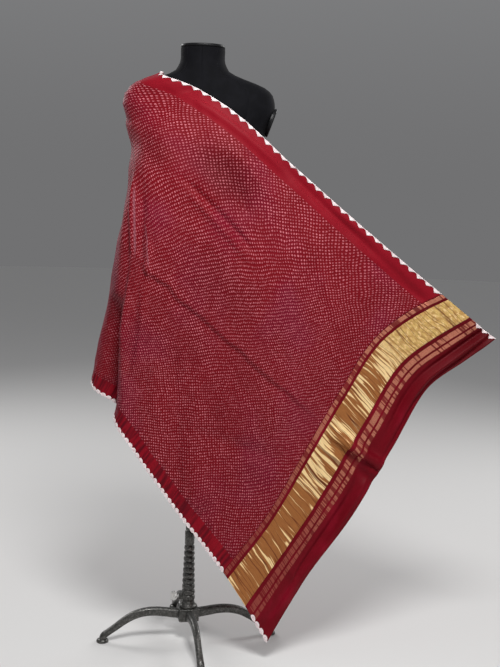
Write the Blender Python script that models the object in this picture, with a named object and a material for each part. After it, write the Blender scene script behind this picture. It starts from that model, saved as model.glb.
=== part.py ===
"""A dupatta stole worn over one shoulder of a limbless dress form on a cast-iron stand.

Metres, +Z up. The wearer's front faces -Y. The stand's pole is the Z axis and the floor is z = 0.

The cloth is one length, woven and dyed flat. A place on it is given by two distances on the flat cloth:
`along`, from the end that is drawn out in front, and `across`, from the upper long edge.
"""

import math

import bmesh
import bpy
import numpy as np

# ---- the flat cloth
LENGTH = 2.24
WIDTH = 0.98
WALL = 0.002
SEAM_GAP = 0.0004
SHOULDER = LENGTH / 2

# ---- the edging, whose teeth also space the cloth's sections
TEETH = 83
PITCH = LENGTH / TEETH
TOOTH_DEPTH = 0.0125
RIBBON_DEPTH = 0.0028
EDGING_WALL = 0.0009
EDGING_LIFT = 0.0007

# ---- the cloth's stretches, counted in teeth from the drawn-out end
END_TEETH = 4
BAND_TEETH = 8
FRONT_TEETH = 27
WRAP_TEETH = 53
END_EDGING_TEETH = 3
CELLS_ACROSS = 25

# ---- where the cloth lies: one section across the cloth for each distance along it
ACROSS_SHARES = (0.0, 0.1, 0.2, 0.4, 0.6, 0.8, 1.0)
SECTIONS = (
    # along, then x, y, z at each share of the width
    (0.000, (0.760, -0.115, 0.857), (0.685, -0.120, 0.797), (0.607, -0.125, 0.738), (0.512, -0.130, 0.567),
     (0.421, -0.135, 0.397), (0.312, -0.140, 0.234), (0.213, -0.140, 0.052)),
    (0.193, (0.636, -0.118, 0.952), (0.553, -0.124, 0.906), (0.482, -0.130, 0.850), (0.385, -0.135, 0.693),
     (0.299, -0.140, 0.530), (0.212, -0.143, 0.369), (0.107, -0.143, 0.218)),
    (0.460, (0.423, -0.120, 1.119), (0.368, -0.126, 1.056), (0.317, -0.132, 0.990), (0.225, -0.140, 0.847),
     (0.140, -0.144, 0.698), (0.048, -0.144, 0.554), (-0.046, -0.142, 0.413)),
    (0.720, (0.222, -0.113, 1.283), (0.183, -0.124, 1.213), (0.146, -0.133, 1.143), (0.070, -0.141, 1.003),
     (-0.012, -0.143, 0.868), (-0.100, -0.138, 0.735), (-0.187, -0.128, 0.606)),
    (0.900, (0.083, -0.104, 1.400), (0.040, -0.124, 1.325), (-0.002, -0.137, 1.250), (-0.080, -0.141, 1.108),
     (-0.150, -0.130, 0.962), (-0.200, -0.112, 0.815), (-0.240, -0.085, 0.668)),
    (1.010, (-0.010, -0.068, 1.455), (-0.070, -0.090, 1.398), (-0.115, -0.105, 1.325), (-0.165, -0.098, 1.165),
     (-0.198, -0.080, 1.005), (-0.229, -0.060, 0.845), (-0.257, -0.040, 0.690)),
    (1.120, (-0.100, 0.000, 1.500), (-0.174, 0.000, 1.459), (-0.191, 0.000, 1.380), (-0.183, 0.000, 1.208),
     (-0.212, 0.000, 1.036), (-0.234, 0.000, 0.866), (-0.263, 0.000, 0.696)),
)

# ---- how the stretch behind differs from the one in front
REAR_DEPTH = 0.86
REAR_RISE_AT_HEM = 0.05
REAR_DROP_AT_TOP = 0.02
REAR_INSET = 0.03
REAR_LAYER_GAP = 0.035
REAR_BLEND = 0.35
END_CLOSING = 0.60

# ---- upright folds round the side, by plan angle from the front (0) past the left (90) to the rear (180)
UPRIGHT_FOLDS = (
    # angle, half_width, out, low, high
    (54.0, 6.0, 0.012, 0.45, 0.93),
    (65.0, 7.0, -0.050, 0.45, 0.95),
    (84.0, 8.0, 0.006, 0.45, 0.90),
    (90.0, 30.0, -0.024, 1.34, 1.375),
    (63.0, 6.0, 0.006, 1.00, 1.22),
    (47.0, 6.0, 0.006, 0.92, 1.06),
    (55.0, 5.0, -0.005, 0.98, 1.16),
    (34.0, 9.0, 0.007, 0.54, 0.84),
    (14.0, 11.0, -0.007, 0.50, 0.82),
    (-6.0, 12.0, 0.007, 0.46, 0.78),
    (-28.0, 11.0, -0.006, 0.40, 0.72),
    (110.0, 7.0, -0.034, 0.45, 0.98),
    (128.0, 8.0, 0.010, 0.86, 1.15),
    (146.0, 9.0, -0.008, 0.74, 0.95),
    (166.0, 10.0, 0.008, 0.66, 0.92),
)
FOLD_FADE = 0.10
STEP_SOFTNESS = 0.010

# ---- slanting creases, as straight lines in the X-Z plane on the front (-1) or rear (1) stretch
CREASES = (
    # side, x0, z0, x1, z1, out, half_width, step
    (-1, -0.128, 1.000, 0.290, 0.650, 0.013, 0.040, True),
    (-1, 0.360, 0.610, 0.505, 0.495, 0.010, 0.018, False),
    (-1, 0.345, 0.585, 0.480, 0.470, -0.007, 0.016, False),
    (-1, 0.740, 0.850, 0.560, 0.640, 0.006, 0.020, False),
    (-1, 0.730, 0.830, 0.590, 0.700, -0.006, 0.014, False),
    (-1, 0.320, 0.420, 0.250, 0.150, 0.006, 0.020, False),
    (1, -0.100, 1.050, 0.300, 0.720, 0.009, 0.035, True),
    (1, 0.350, 0.900, 0.420, 0.500, 0.007, 0.030, False),
    (1, 0.120, 0.750, 0.260, 0.350, -0.008, 0.030, False),
)

# ---- the dress form: half width, and depth in front of and behind the pole, at each height
FORM_SEGMENTS = 26
FORM_ROUNDNESS = 2.2
FORM_SECTIONS = (
    # z, half_width, front, back
    (0.780, 0.160, 0.100, 0.105),
    (0.800, 0.166, 0.104, 0.110),
    (0.860, 0.168, 0.105, 0.112),
    (0.940, 0.146, 0.094, 0.094),
    (1.040, 0.118, 0.086, 0.078),
    (1.120, 0.134, 0.098, 0.084),
    (1.200, 0.154, 0.120, 0.094),
    (1.260, 0.162, 0.128, 0.100),
    (1.320, 0.164, 0.112, 0.102),
    (1.345, 0.164, 0.104, 0.100),
    (1.375, 0.174, 0.094, 0.097),
    (1.410, 0.187, 0.084, 0.090),
    (1.435, 0.185, 0.075, 0.080),
    (1.455, 0.175, 0.068, 0.071),
    (1.470, 0.152, 0.063, 0.064),
    (1.484, 0.112, 0.060, 0.059),
    (1.500, 0.073, 0.058, 0.057),
    (1.516, 0.061, 0.056, 0.055),
    (1.560, 0.056, 0.054, 0.053),
)
CLOTH_CLEARANCE = 0.0024
SHOULDER_CLEARANCE = 0.012
SHOULDER_SLOPE = (1.43, 1.47)
NECK_CAP_THICKNESS = 0.008
NECK_CAP_ROUNDING = 0.002
BASE_PLATE_THICKNESS = 0.012
BASE_PLATE_INSET = 0.012
ARMHOLE_CENTRE = (0.1770, 0.002, 1.380)
ARMHOLE_HALF_HEIGHT = 0.038
ARMHOLE_HALF_DEPTH = 0.029
ARMHOLE_THICKNESS = 0.006
ARMHOLE_TILT = math.radians(19)
REACH_OVER_PLATES = (
    # z, half_width that the cloth clears
    (1.320, 0.160),
    (1.345, 0.172),
    (1.380, 0.188),
    (1.415, 0.199),
    (1.440, 0.193),
    (1.470, 0.150),
)
PART_GAP = 0.0003

# ---- the stand
POLE_RADIUS = 0.011
COLUMN_FOOT = 0.0883
COLUMN_TOP = 0.300
COLUMN_PLINTH = (
    # radius, z of the column's foot below its rings
    (0.0240, COLUMN_FOOT),
    (0.0240, 0.094),
    (0.0185, 0.097),
    (0.0172, 0.104),
)
RING_FOOT = 0.107
RING_PITCH = 0.0153
RINGS = 10
RING_RADII = (0.0182, 0.0140)
RING_GROOVE = 0.0030
COLLAR_RADIUS = 0.0128
COLUMN_SEGMENTS = 14
HUB_WIDTH = 0.054
HUB_HEIGHT = 0.034
HUB_TOP = 0.088
HUB_BEVEL = 0.006
LEGS = 4
LEG_TURN = math.radians(12)
LEG_SEGMENTS = 10
LEG_PATH = (
    # r, z, half_height, half_width
    (0.0275, 0.071, 0.0130, 0.0110),
    (0.050, 0.074, 0.0125, 0.0105),
    (0.080, 0.078, 0.0120, 0.0100),
    (0.112, 0.078, 0.0115, 0.0095),
    (0.145, 0.070, 0.0110, 0.0090),
    (0.172, 0.055, 0.0100, 0.0085),
    (0.194, 0.039, 0.0090, 0.0085),
    (0.213, 0.026, 0.0085, 0.0090),
    (0.225, 0.017, 0.0090, 0.0095),
)
FOOT_R = 0.228
FOOT_RADIUS = 0.016
FOOT_HEIGHT = 0.009

# ---- the clamp screw at the foot of the column, on its left side
SCREW_Z = 0.1165
SCREW_SHANK_RADIUS = 0.0036
SCREW_BORE_RADIUS = 0.0041
SCREW_REACH = (0.0105, 0.031)
BOSS_RADIUS = 0.0085
BOSS_REACH = 0.0255
WING_SPAN = 0.026
WING_LENGTH = 0.020
WING_THICKNESS = 0.0045

# ---- finishes: colour, roughness, metallic
FINISHES = {
    "bandhani_red": ((0.305, 0.010, 0.020), 0.55, 0.0),
    "plain_red": ((0.360, 0.012, 0.022), 0.50, 0.0),
    "zari_gold": ((0.620, 0.400, 0.160), 0.35, 0.6),
    "edging_white": ((0.900, 0.800, 0.780), 0.80, 0.0),
    "form_cloth": ((0.012, 0.012, 0.016), 0.85, 0.0),
    "form_trim": ((0.010, 0.010, 0.012), 0.50, 0.0),
    "cast_iron": ((0.030, 0.032, 0.034), 0.45, 0.8),
    "bright_steel": ((0.600, 0.600, 0.590), 0.25, 1.0),
}


# ---------------------------------------------------------------- helpers


def smooth(x):
    """0 below 0, 1 above 1, with level ends."""
    x = np.clip(x, 0.0, 1.0)
    return x * x * (3.0 - 2.0 * x)


def curve_through(knots, values, at):
    """A smooth curve through the values at the knots, read at each place in `at`."""
    knots = np.asarray(knots, float)
    values = np.asarray(values, float)
    slopes = np.gradient(values, knots, axis=0)
    left = np.clip(np.searchsorted(knots, at, side="right") - 1, 0, len(knots) - 2)
    spread = (slice(None),) + (None,) * (values.ndim - 1)
    span = (knots[left + 1] - knots[left])[spread]
    u = ((at - knots[left]) / (knots[left + 1] - knots[left]))[spread]
    start = values[left] * (2 * u**3 - 3 * u**2 + 1) + slopes[left] * span * (u**3 - 2 * u**2 + u)
    end = values[left + 1] * (3 * u**2 - 2 * u**3) + slopes[left + 1] * span * (u**3 - u**2)
    return start + end


def unit(vectors):
    return vectors / np.linalg.norm(vectors, axis=-1, keepdims=True)


def finish(name):
    """The named material, made once."""
    material = bpy.data.materials.get(name)
    if material is None:
        colour, roughness, metallic = FINISHES[name]
        material = bpy.data.materials.new(name)
        material.use_nodes = True
        shader = material.node_tree.nodes["Principled BSDF"]
        shader.inputs["Base Color"].default_value = (*colour, 1.0)
        shader.inputs["Roughness"].default_value = roughness
        shader.inputs["Metallic"].default_value = metallic
    return material


def add_object(name, form, material, sharp_angle=40):
    """A named object from a bmesh, shaded smooth except along sharp edges."""
    mesh = bpy.data.meshes.new(name)
    bmesh.ops.recalc_face_normals(form, faces=form.faces)
    form.to_mesh(mesh)
    form.free()
    mesh.shade_smooth()
    mesh.set_sharp_from_angle(angle=math.radians(sharp_angle))
    mesh.materials.append(finish(material))
    obj = bpy.data.objects.new(name, mesh)
    bpy.context.scene.collection.objects.link(obj)
    return obj


def loft(name, rings, material, sharp_angle=40):
    """A closed solid through rings of points, with a flat cap at each end."""
    form = bmesh.new()
    loops = [[form.verts.new(point) for point in ring] for ring in rings]
    for lower, upper in zip(loops, loops[1:]):
        for i in range(len(lower)):
            j = (i + 1) % len(lower)
            form.faces.new((lower[i], lower[j], upper[j], upper[i]))
    form.faces.new(loops[0][::-1])
    form.faces.new(loops[-1])
    return add_object(name, form, material, sharp_angle)


def circle(radius, z, segments, centre=(0.0, 0.0)):
    turns = np.arange(segments) * 2 * math.pi / segments
    return [(centre[0] + radius * math.cos(a), centre[1] + radius * math.sin(a), z) for a in turns]


# ---------------------------------------------------------------- the cloth's lie


def form_half_sizes(z):
    """The dress form's half width, front depth and back depth at each height, or zero clear of it."""
    table = np.array(FORM_SECTIONS)
    inside = (z > table[0, 0]) & (z < table[-1, 0])
    wide, front, back = [np.where(inside, np.interp(z, table[:, 0], table[:, k]), 0.0) for k in (1, 2, 3)]
    plates = np.array(REACH_OVER_PLATES)
    over = np.interp(z, plates[:, 0], plates[:, 1], left=0.0, right=0.0)
    return np.maximum(wide, over), front, back


def clear_of_form(points):
    """The points, moved level outwards where they would lie in the dress form or touch it."""
    x, y, z = np.moveaxis(points, -1, 0)
    wide, front, back = form_half_sizes(z)
    deep = np.where(y < 0, front, back)
    slope_foot, slope_top = SHOULDER_SLOPE
    gap = CLOTH_CLEARANCE + SHOULDER_CLEARANCE * smooth((z - slope_foot) / (slope_top - slope_foot))
    wide = wide + gap
    deep = deep + gap
    reach = (np.abs(x) / wide) ** FORM_ROUNDNESS + (np.abs(y) / deep) ** FORM_ROUNDNESS
    inside = (reach < 1.0) & (wide > gap)
    push = np.where(inside, np.maximum(reach, 1e-3) ** (-1 / FORM_ROUNDNESS), 1.0)
    return np.stack([x * push, y * push, z], axis=-1)


def rear_section(along, points):
    """The section behind that answers to a front one: mirrored, raised at its hem and closing on the end."""
    share = np.array(ACROSS_SHARES)
    x, y, z = np.array(points).T
    away = smooth((SHOULDER - along) / REAR_BLEND)
    closing = smooth(1.0 - along / END_CLOSING)
    x = x - REAR_INSET * away * (1.0 - share)
    z = z + away * (REAR_RISE_AT_HEM * share - REAR_DROP_AT_TOP * (1.0 - share))
    y = (1.0 - closing) * (-REAR_DEPTH * y) + closing * (y + REAR_LAYER_GAP)
    return LENGTH - along, np.stack([x, y, z], axis=-1)


def all_sections():
    """Every section from the drawn-out end to the rear end, as (along, points)."""
    front = [(row[0], np.array(row[1:])) for row in SECTIONS]
    rear = [rear_section(row[0], row[1:]) for row in SECTIONS[-2::-1]]
    places, points = zip(*(front + rear))
    return np.array(places), np.array(points)


def plain_drape(along, across):
    """The cloth without its folds, over the dress form. `along` and `across` are lists; the result is a grid."""
    places, points = all_sections()
    lines = curve_through(ACROSS_SHARES, np.moveaxis(points, 1, 0), np.asarray(across) / WIDTH)
    grid = curve_through(places, np.moveaxis(lines, 1, 0), np.asarray(along))
    return clear_of_form(grid)


def facing(surface, along, across, step=0.002):
    """The outward direction of a surface, from points a short step away on each side."""
    along = np.asarray(along)
    across = np.asarray(across)
    low, high = np.clip(along - step, 0, LENGTH), np.clip(along + step, 0, LENGTH)
    near, far = np.clip(across - step, 0, WIDTH), np.clip(across + step, 0, WIDTH)
    down_length = surface(high, across) - surface(low, across)
    down_width = surface(along, far) - surface(along, near)
    return unit(np.cross(down_length, down_width))


def upright_relief(points):
    """How far the upright folds stand out at each point."""
    x, y, z = np.moveaxis(points, -1, 0)
    angle = np.degrees(np.arctan2(-x, -y))
    relief = np.zeros(x.shape)
    for centre, half_width, out, low, high in UPRIGHT_FOLDS:
        bell = np.exp(-(((angle - centre) / half_width) ** 2))
        relief += out * bell * smooth((high - z) / FOLD_FADE) * smooth((z - low + FOLD_FADE) / FOLD_FADE)
    return relief


def crease_relief(points):
    """How far the slanting creases stand out at each point."""
    x, y, z = np.moveaxis(points, -1, 0)
    relief = np.zeros(x.shape)
    front = smooth(-y / 0.02 + 0.5 + np.where(x > 0.25, 2.0, 0.0))
    for side, x0, z0, x1, z1, out, half_width, step in CREASES:
        run = math.hypot(x1 - x0, z1 - z0)
        ux, uz = (x1 - x0) / run, (z1 - z0) / run
        share = ((x - x0) * ux + (z - z0) * uz) / run
        off = (x - x0) * -uz + (z - z0) * ux
        ends = smooth((share + 0.12) / 0.24) * smooth((1.12 - share) / 0.24)
        if step:
            profile = np.tanh(off / STEP_SOFTNESS) * np.exp(-np.abs(off) / half_width)
        else:
            profile = np.exp(-((off / half_width) ** 2))
        relief += out * profile * ends * (front if side < 0 else 1.0 - front)
    return relief


def drape(along, across):
    """The middle of the cloth's thickness, folds and all, as a grid of points."""
    points = plain_drape(along, across)
    rear = np.asarray(along)[:, None] > SHOULDER
    side = np.where(rear, 1, -1)
    marked = points.copy()
    marked[..., 1] = np.where(side < 0, np.minimum(points[..., 1], 0.0), np.maximum(points[..., 1], 0.001))
    relief = upright_relief(marked) + crease_relief(marked)
    return points + facing(plain_drape, along, across) * relief[..., None]


# ---------------------------------------------------------------- the cloth's stretches


def places_across():
    """Distances across the cloth: the edging's depth at each edge, and even cells between."""
    inner = np.linspace(TOOTH_DEPTH, WIDTH - TOOTH_DEPTH, CELLS_ACROSS + 1)
    return np.concatenate([[0.0], inner, [WIDTH]])


def places_along(first_tooth, last_tooth, cells_per_tooth):
    """Distances along the cloth from one tooth to another, held back from each seam."""
    cells = round((last_tooth - first_tooth) * cells_per_tooth)
    places = np.linspace(first_tooth, last_tooth, cells + 1) * PITCH
    if first_tooth > 0:
        places[0] += SEAM_GAP / 2
    if last_tooth < TEETH:
        places[-1] -= SEAM_GAP / 2
    return places


def outer_face(along, across):
    return drape(along, across) + facing(drape, along, across) * (WALL / 2)


def add_stretch(name, first_tooth, last_tooth, cells_per_tooth, material):
    """One stretch of the cloth, as a wall of even thickness about the drape."""
    along = places_along(first_tooth, last_tooth, cells_per_tooth)
    across = places_across()
    outer = outer_face(along, across)
    inner = 2 * drape(along, across) - outer
    form = bmesh.new()
    top = [[form.verts.new(point) for point in row] for row in outer]
    under = [[form.verts.new(point) for point in row] for row in inner]
    last_row, last_column = len(along) - 1, len(across) - 1
    for i in range(last_row):
        for j in range(last_column):
            form.faces.new((top[i][j], top[i + 1][j], top[i + 1][j + 1], top[i][j + 1]))
            form.faces.new((under[i][j], under[i][j + 1], under[i + 1][j + 1], under[i + 1][j]))
        form.faces.new((top[i + 1][0], top[i][0], under[i][0], under[i + 1][0]))
        form.faces.new((top[i][-1], top[i + 1][-1], under[i + 1][-1], under[i][-1]))
    for j in range(last_column):
        form.faces.new((top[0][j], top[0][j + 1], under[0][j + 1], under[0][j]))
        form.faces.new((top[-1][j], under[-1][j], under[-1][j + 1], top[-1][j + 1]))
    add_object(name, form, material)
    return along, across, outer


def on_face(stretch, along, across):
    """A point and its direction out of a stretch's outer face, inside one of its cells."""
    rows, columns, outer = stretch
    i = int(np.clip(np.searchsorted(rows, along, side="right") - 1, 0, len(rows) - 2))
    j = int(np.clip(np.searchsorted(columns, across, side="right") - 1, 0, len(columns) - 2))
    u = np.clip((along - rows[i]) / (rows[i + 1] - rows[i]), 0.0, 1.0)
    v = np.clip((across - columns[j]) / (columns[j + 1] - columns[j]), 0.0, 1.0)
    near = outer[i, j] * (1 - u) + outer[i + 1, j] * u
    far = outer[i, j + 1] * (1 - u) + outer[i + 1, j + 1] * u
    along_edge = outer[i + 1, j] - outer[i, j]
    across_edge = outer[i, j + 1] - outer[i, j]
    return near * (1 - v) + far * v, unit(np.cross(along_edge, across_edge))


def add_edging(name, stretch, first_tooth, last_tooth, upper):
    """A ribbon of triangles that lies on one edge of a stretch, points inwards."""
    form = bmesh.new()

    def pair(along, depth):
        point, out = on_face(stretch, along, depth if upper else WIDTH - depth)
        low = form.verts.new(point + out * EDGING_LIFT)
        high = form.verts.new(point + out * (EDGING_LIFT + EDGING_WALL))
        return low, high

    def wall(first, second):
        form.faces.new((first[0], second[0], second[1], first[1]))

    def panel(corners):
        form.faces.new([corner[1] for corner in corners])
        form.faces.new([corner[0] for corner in reversed(corners)])

    places = stretch[0]
    start = max(first_tooth * PITCH, places[0])
    rim = pair(start, 0.0)
    valley = pair(start, RIBBON_DEPTH)
    wall(valley, rim)
    for tooth in range(first_tooth, last_tooth):
        middle = (tooth + 0.5) * PITCH
        end = min((tooth + 1) * PITCH, places[-1])
        rim_middle = pair(middle, 0.0)
        peak = pair(middle, TOOTH_DEPTH)
        next_rim = pair(end, 0.0)
        next_valley = pair(end, RIBBON_DEPTH)
        panel((rim, rim_middle, peak, valley))
        panel((rim_middle, next_rim, next_valley, peak))
        wall(rim, rim_middle)
        wall(rim_middle, next_rim)
        wall(peak, valley)
        wall(next_valley, peak)
        rim, valley = next_rim, next_valley
    wall(rim, valley)
    add_object(name, form, "edging_white", sharp_angle=30)


def add_cloth():
    stretches = (
        # name, first tooth, last tooth, cells per tooth, material
        ("end_panel", 0, END_TEETH, 1, "plain_red"),
        ("zari_band", END_TEETH, BAND_TEETH, 1, "zari_gold"),
        ("front_field", BAND_TEETH, FRONT_TEETH, 1, "bandhani_red"),
        ("shoulder_wrap", FRONT_TEETH, WRAP_TEETH, 2, "bandhani_red"),
        ("rear_field", WRAP_TEETH, TEETH, 0.5, "bandhani_red"),
    )
    made = {name: add_stretch(name, *settings) for name, *settings in stretches}
    edgings = (
        # name, stretch, first tooth, last tooth
        ("end", "end_panel", 0, END_EDGING_TEETH),
        ("front", "front_field", BAND_TEETH, FRONT_TEETH),
        ("wrap", "shoulder_wrap", FRONT_TEETH, WRAP_TEETH),
        ("rear", "rear_field", WRAP_TEETH, TEETH),
    )
    for place, stretch, first, last in edgings:
        add_edging(f"upper_edging_{place}", made[stretch], first, last, True)
        add_edging(f"lower_edging_{place}", made[stretch], first, last, False)


# ---------------------------------------------------------------- the dress form


def form_ring(z, half_width, front, back):
    turns = np.arange(FORM_SEGMENTS) * 2 * math.pi / FORM_SEGMENTS
    cosine, sine = np.cos(turns), np.sin(turns)
    power = 2 / FORM_ROUNDNESS
    x = half_width * np.sign(cosine) * np.abs(cosine) ** power
    y = np.where(sine < 0, front, back) * np.sign(sine) * np.abs(sine) ** power
    return [(a, b, z) for a, b in zip(x, y)]


def add_form():
    loft("form_body", [form_ring(*row) for row in FORM_SECTIONS], "form_cloth", 60)
    z, half_width, front, back = FORM_SECTIONS[-1]
    foot = z + PART_GAP
    top = foot + NECK_CAP_THICKNESS
    rim = NECK_CAP_ROUNDING
    cap = [
        form_ring(foot, half_width - rim, front - rim, back - rim),
        form_ring(foot + rim, half_width, front, back),
        form_ring(top - rim, half_width, front, back),
        form_ring(top, half_width - rim, front - rim, back - rim),
    ]
    loft("neck_cap", cap, "form_trim")
    z, half_width, front, back = FORM_SECTIONS[0]
    top = z - PART_GAP
    inset = BASE_PLATE_INSET
    plate = [
        form_ring(top - BASE_PLATE_THICKNESS, half_width - inset, front - inset, back - inset),
        form_ring(top, half_width - inset, front - inset, back - inset),
    ]
    loft("base_plate", plate, "form_trim")
    for side, name in ((1, "armhole_plate_right"), (-1, "armhole_plate_left")):
        add_armhole_plate(name, side)


def add_armhole_plate(name, side):
    """An oval plate set on the cut-off shoulder, leaning in towards its foot."""
    rings = []
    rows = ((0.0, 1.0), (ARMHOLE_THICKNESS * 0.6, 1.0), (ARMHOLE_THICKNESS, 0.9))
    for out, scale in rows:
        ring = []
        for i in range(24):
            turn = i * math.pi / 12
            up = ARMHOLE_HALF_HEIGHT * scale * math.sin(turn)
            deep = ARMHOLE_HALF_DEPTH * scale * math.cos(turn)
            lean_x = out * math.cos(ARMHOLE_TILT) + up * math.sin(ARMHOLE_TILT)
            lean_z = up * math.cos(ARMHOLE_TILT) - out * math.sin(ARMHOLE_TILT)
            x, y, z = ARMHOLE_CENTRE
            ring.append((side * (x + lean_x), y + deep, z + lean_z))
        rings.append(ring)
    loft(name, rings, "form_trim", 50)


# ---------------------------------------------------------------- the stand


def column_profile():
    """The turned column, as radius and height from its foot to its top."""
    rows = list(COLUMN_PLINTH)
    for ring in range(RINGS):
        z = RING_FOOT + ring * RING_PITCH
        share = ring / (RINGS - 1)
        radius = RING_RADII[0] * (1 - share) + RING_RADII[1] * share
        rows += [
            (radius - RING_GROOVE, z),
            (radius, z + 0.30 * RING_PITCH),
            (radius, z + 0.70 * RING_PITCH),
        ]
    top_of_rings = RING_FOOT + RINGS * RING_PITCH
    rows += [
        (RING_RADII[1] - RING_GROOVE, top_of_rings),
        (COLLAR_RADIUS, top_of_rings + 0.003),
        (COLLAR_RADIUS, COLUMN_TOP - 0.002),
        (COLLAR_RADIUS - 0.002, COLUMN_TOP),
    ]
    return rows


def side_rod(name, radius, from_x, to_x, material, segments=20):
    """A round rod that points left, out of the column, on the clamp screw's axis."""
    rings = []
    for x in (from_x, to_x):
        ring = circle(radius, 0.0, segments)
        rings.append([(x, a, SCREW_Z + b) for a, b, _ in ring])
    return loft(name, rings, material)


def apply_boolean(obj, other, operation):
    """Joins another solid to an object or cuts it away, and removes the other."""
    modifier = obj.modifiers.new(operation.lower(), "BOOLEAN")
    modifier.operation = operation
    modifier.object = other
    bpy.context.view_layer.update()
    graph = bpy.context.evaluated_depsgraph_get()
    mesh = bpy.data.meshes.new_from_object(obj.evaluated_get(graph))
    obj.modifiers.clear()
    obj.data = mesh
    bpy.data.objects.remove(other)


def add_column():
    column = loft(
        "column",
        [circle(radius, z, COLUMN_SEGMENTS) for radius, z in column_profile()],
        "cast_iron",
    )
    boss = side_rod("boss", BOSS_RADIUS, -0.006, -BOSS_REACH, "cast_iron")
    apply_boolean(column, boss, "UNION")
    bore = side_rod("bore", SCREW_BORE_RADIUS, -SCREW_REACH[0] + PART_GAP, -BOSS_REACH - 0.004, "cast_iron")
    apply_boolean(column, bore, "DIFFERENCE")


def add_pole():
    base = FORM_SECTIONS[0][0] - 2 * PART_GAP - BASE_PLATE_THICKNESS
    loft("pole", [circle(POLE_RADIUS, z, 20) for z in (COLUMN_TOP + PART_GAP, base)], "cast_iron")


def add_clamp_screw():
    """A shank with a flat wing to turn it by, centred on its own axis."""
    screw = side_rod("clamp_screw", SCREW_SHANK_RADIUS, -SCREW_REACH[0], -SCREW_REACH[1], "bright_steel")
    half_span, half_thick = WING_SPAN / 2, WING_THICKNESS / 2
    near, far = SCREW_REACH[1] - 0.003, SCREW_REACH[1] - 0.003 + WING_LENGTH
    outline = (
        # x, height from the axis
        (near, 0.45 * half_span),
        (near + 0.35 * WING_LENGTH, half_span),
        (far, 0.8 * half_span),
        (far - 0.1 * WING_LENGTH, 0.0),
        (far, -0.8 * half_span),
        (near + 0.35 * WING_LENGTH, -half_span),
        (near, -0.45 * half_span),
    )
    rings = [[(-x, y, SCREW_Z + up) for x, up in outline] for y in (-half_thick, half_thick)]
    apply_boolean(screw, loft("wing", rings, "bright_steel"), "UNION")


def add_hub():
    form = bmesh.new()
    bmesh.ops.create_cube(form, size=1.0)
    bmesh.ops.scale(form, vec=(HUB_WIDTH, HUB_WIDTH, HUB_HEIGHT), verts=form.verts)
    upright = [edge for edge in form.edges if abs(edge.verts[0].co.z - edge.verts[1].co.z) > HUB_HEIGHT / 2]
    bmesh.ops.bevel(form, geom=upright, offset=HUB_BEVEL, segments=2, profile=0.5, affect="EDGES", material=-1)
    hub = add_object("hub", form, "cast_iron")
    hub.location = (0.0, 0.0, HUB_TOP - HUB_HEIGHT / 2)
    hub.rotation_euler = (0.0, 0.0, LEG_TURN)


def leg_rings():
    """Rings across the leg in its own plane: r outwards as x, and z up."""
    table = np.array(LEG_PATH + ((FOOT_R, FOOT_HEIGHT + PART_GAP, 0.0095, 0.0100),))
    tangents = unit(np.gradient(table[:, :2], axis=0))
    tangents[0] = (1.0, 0.0)
    tangents[-1] = (0.0, -1.0)
    rings = []
    for (r, z, half_height, half_width), (tr, tz) in zip(table, tangents):
        ring = []
        for i in range(LEG_SEGMENTS):
            turn = i * 2 * math.pi / LEG_SEGMENTS
            lift = half_height * math.cos(turn)
            ring.append((r - tz * lift, half_width * math.sin(turn), z + tr * lift))
        rings.append(ring)
    return rings


def add_legs():
    for number in range(1, LEGS + 1):
        turn = LEG_TURN + (number - 1) * 2 * math.pi / LEGS
        leg = loft(f"leg_{number}", leg_rings(), "cast_iron", 50)
        leg.rotation_euler = (0.0, 0.0, turn)
        rows = ((FOOT_RADIUS, 0.0), (FOOT_RADIUS, 0.6 * FOOT_HEIGHT), (0.8 * FOOT_RADIUS, FOOT_HEIGHT))
        foot = loft(f"foot_{number}", [circle(radius, z, 16) for radius, z in rows], "cast_iron")
        foot.location = (FOOT_R * math.cos(turn), FOOT_R * math.sin(turn), 0.0)


def stand_on_origin():
    """Hangs every piece from one empty, which centres the whole over the origin with its feet on z = 0."""
    bpy.context.view_layer.update()
    pieces = list(bpy.context.scene.collection.objects)
    points = np.array([tuple(piece.matrix_world @ v.co) for piece in pieces for v in piece.data.vertices])
    centre = (points.min(axis=0) + points.max(axis=0)) / 2
    whole = bpy.data.objects.new("dupatta_on_form", None)
    bpy.context.scene.collection.objects.link(whole)
    for piece in pieces:
        piece.parent = whole
    whole.location = (-centre[0], -centre[1], 0.0)


def main():
    for obj in list(bpy.data.objects):
        bpy.data.objects.remove(obj)
    add_cloth()
    add_form()
    add_pole()
    add_column()
    add_clamp_screw()
    add_hub()
    add_legs()
    stand_on_origin()


main()
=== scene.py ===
# %% [markdown]
# # A dupatta stole on a dress form
#
# A dupatta is one long length of cloth. This one is silk tied and dyed with thousands of small pale dots,
# with plain borders, a band of woven gold near its end, and a toothed white tape along its long edges.
# It hangs from one shoulder of a limbless dress form, and its end is drawn out in front.
#
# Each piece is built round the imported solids, which give its size and place. Lengths are in metres.

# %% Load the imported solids
import math

import bmesh
import bpy
import numpy as np
from mathutils import Matrix, Vector


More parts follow.
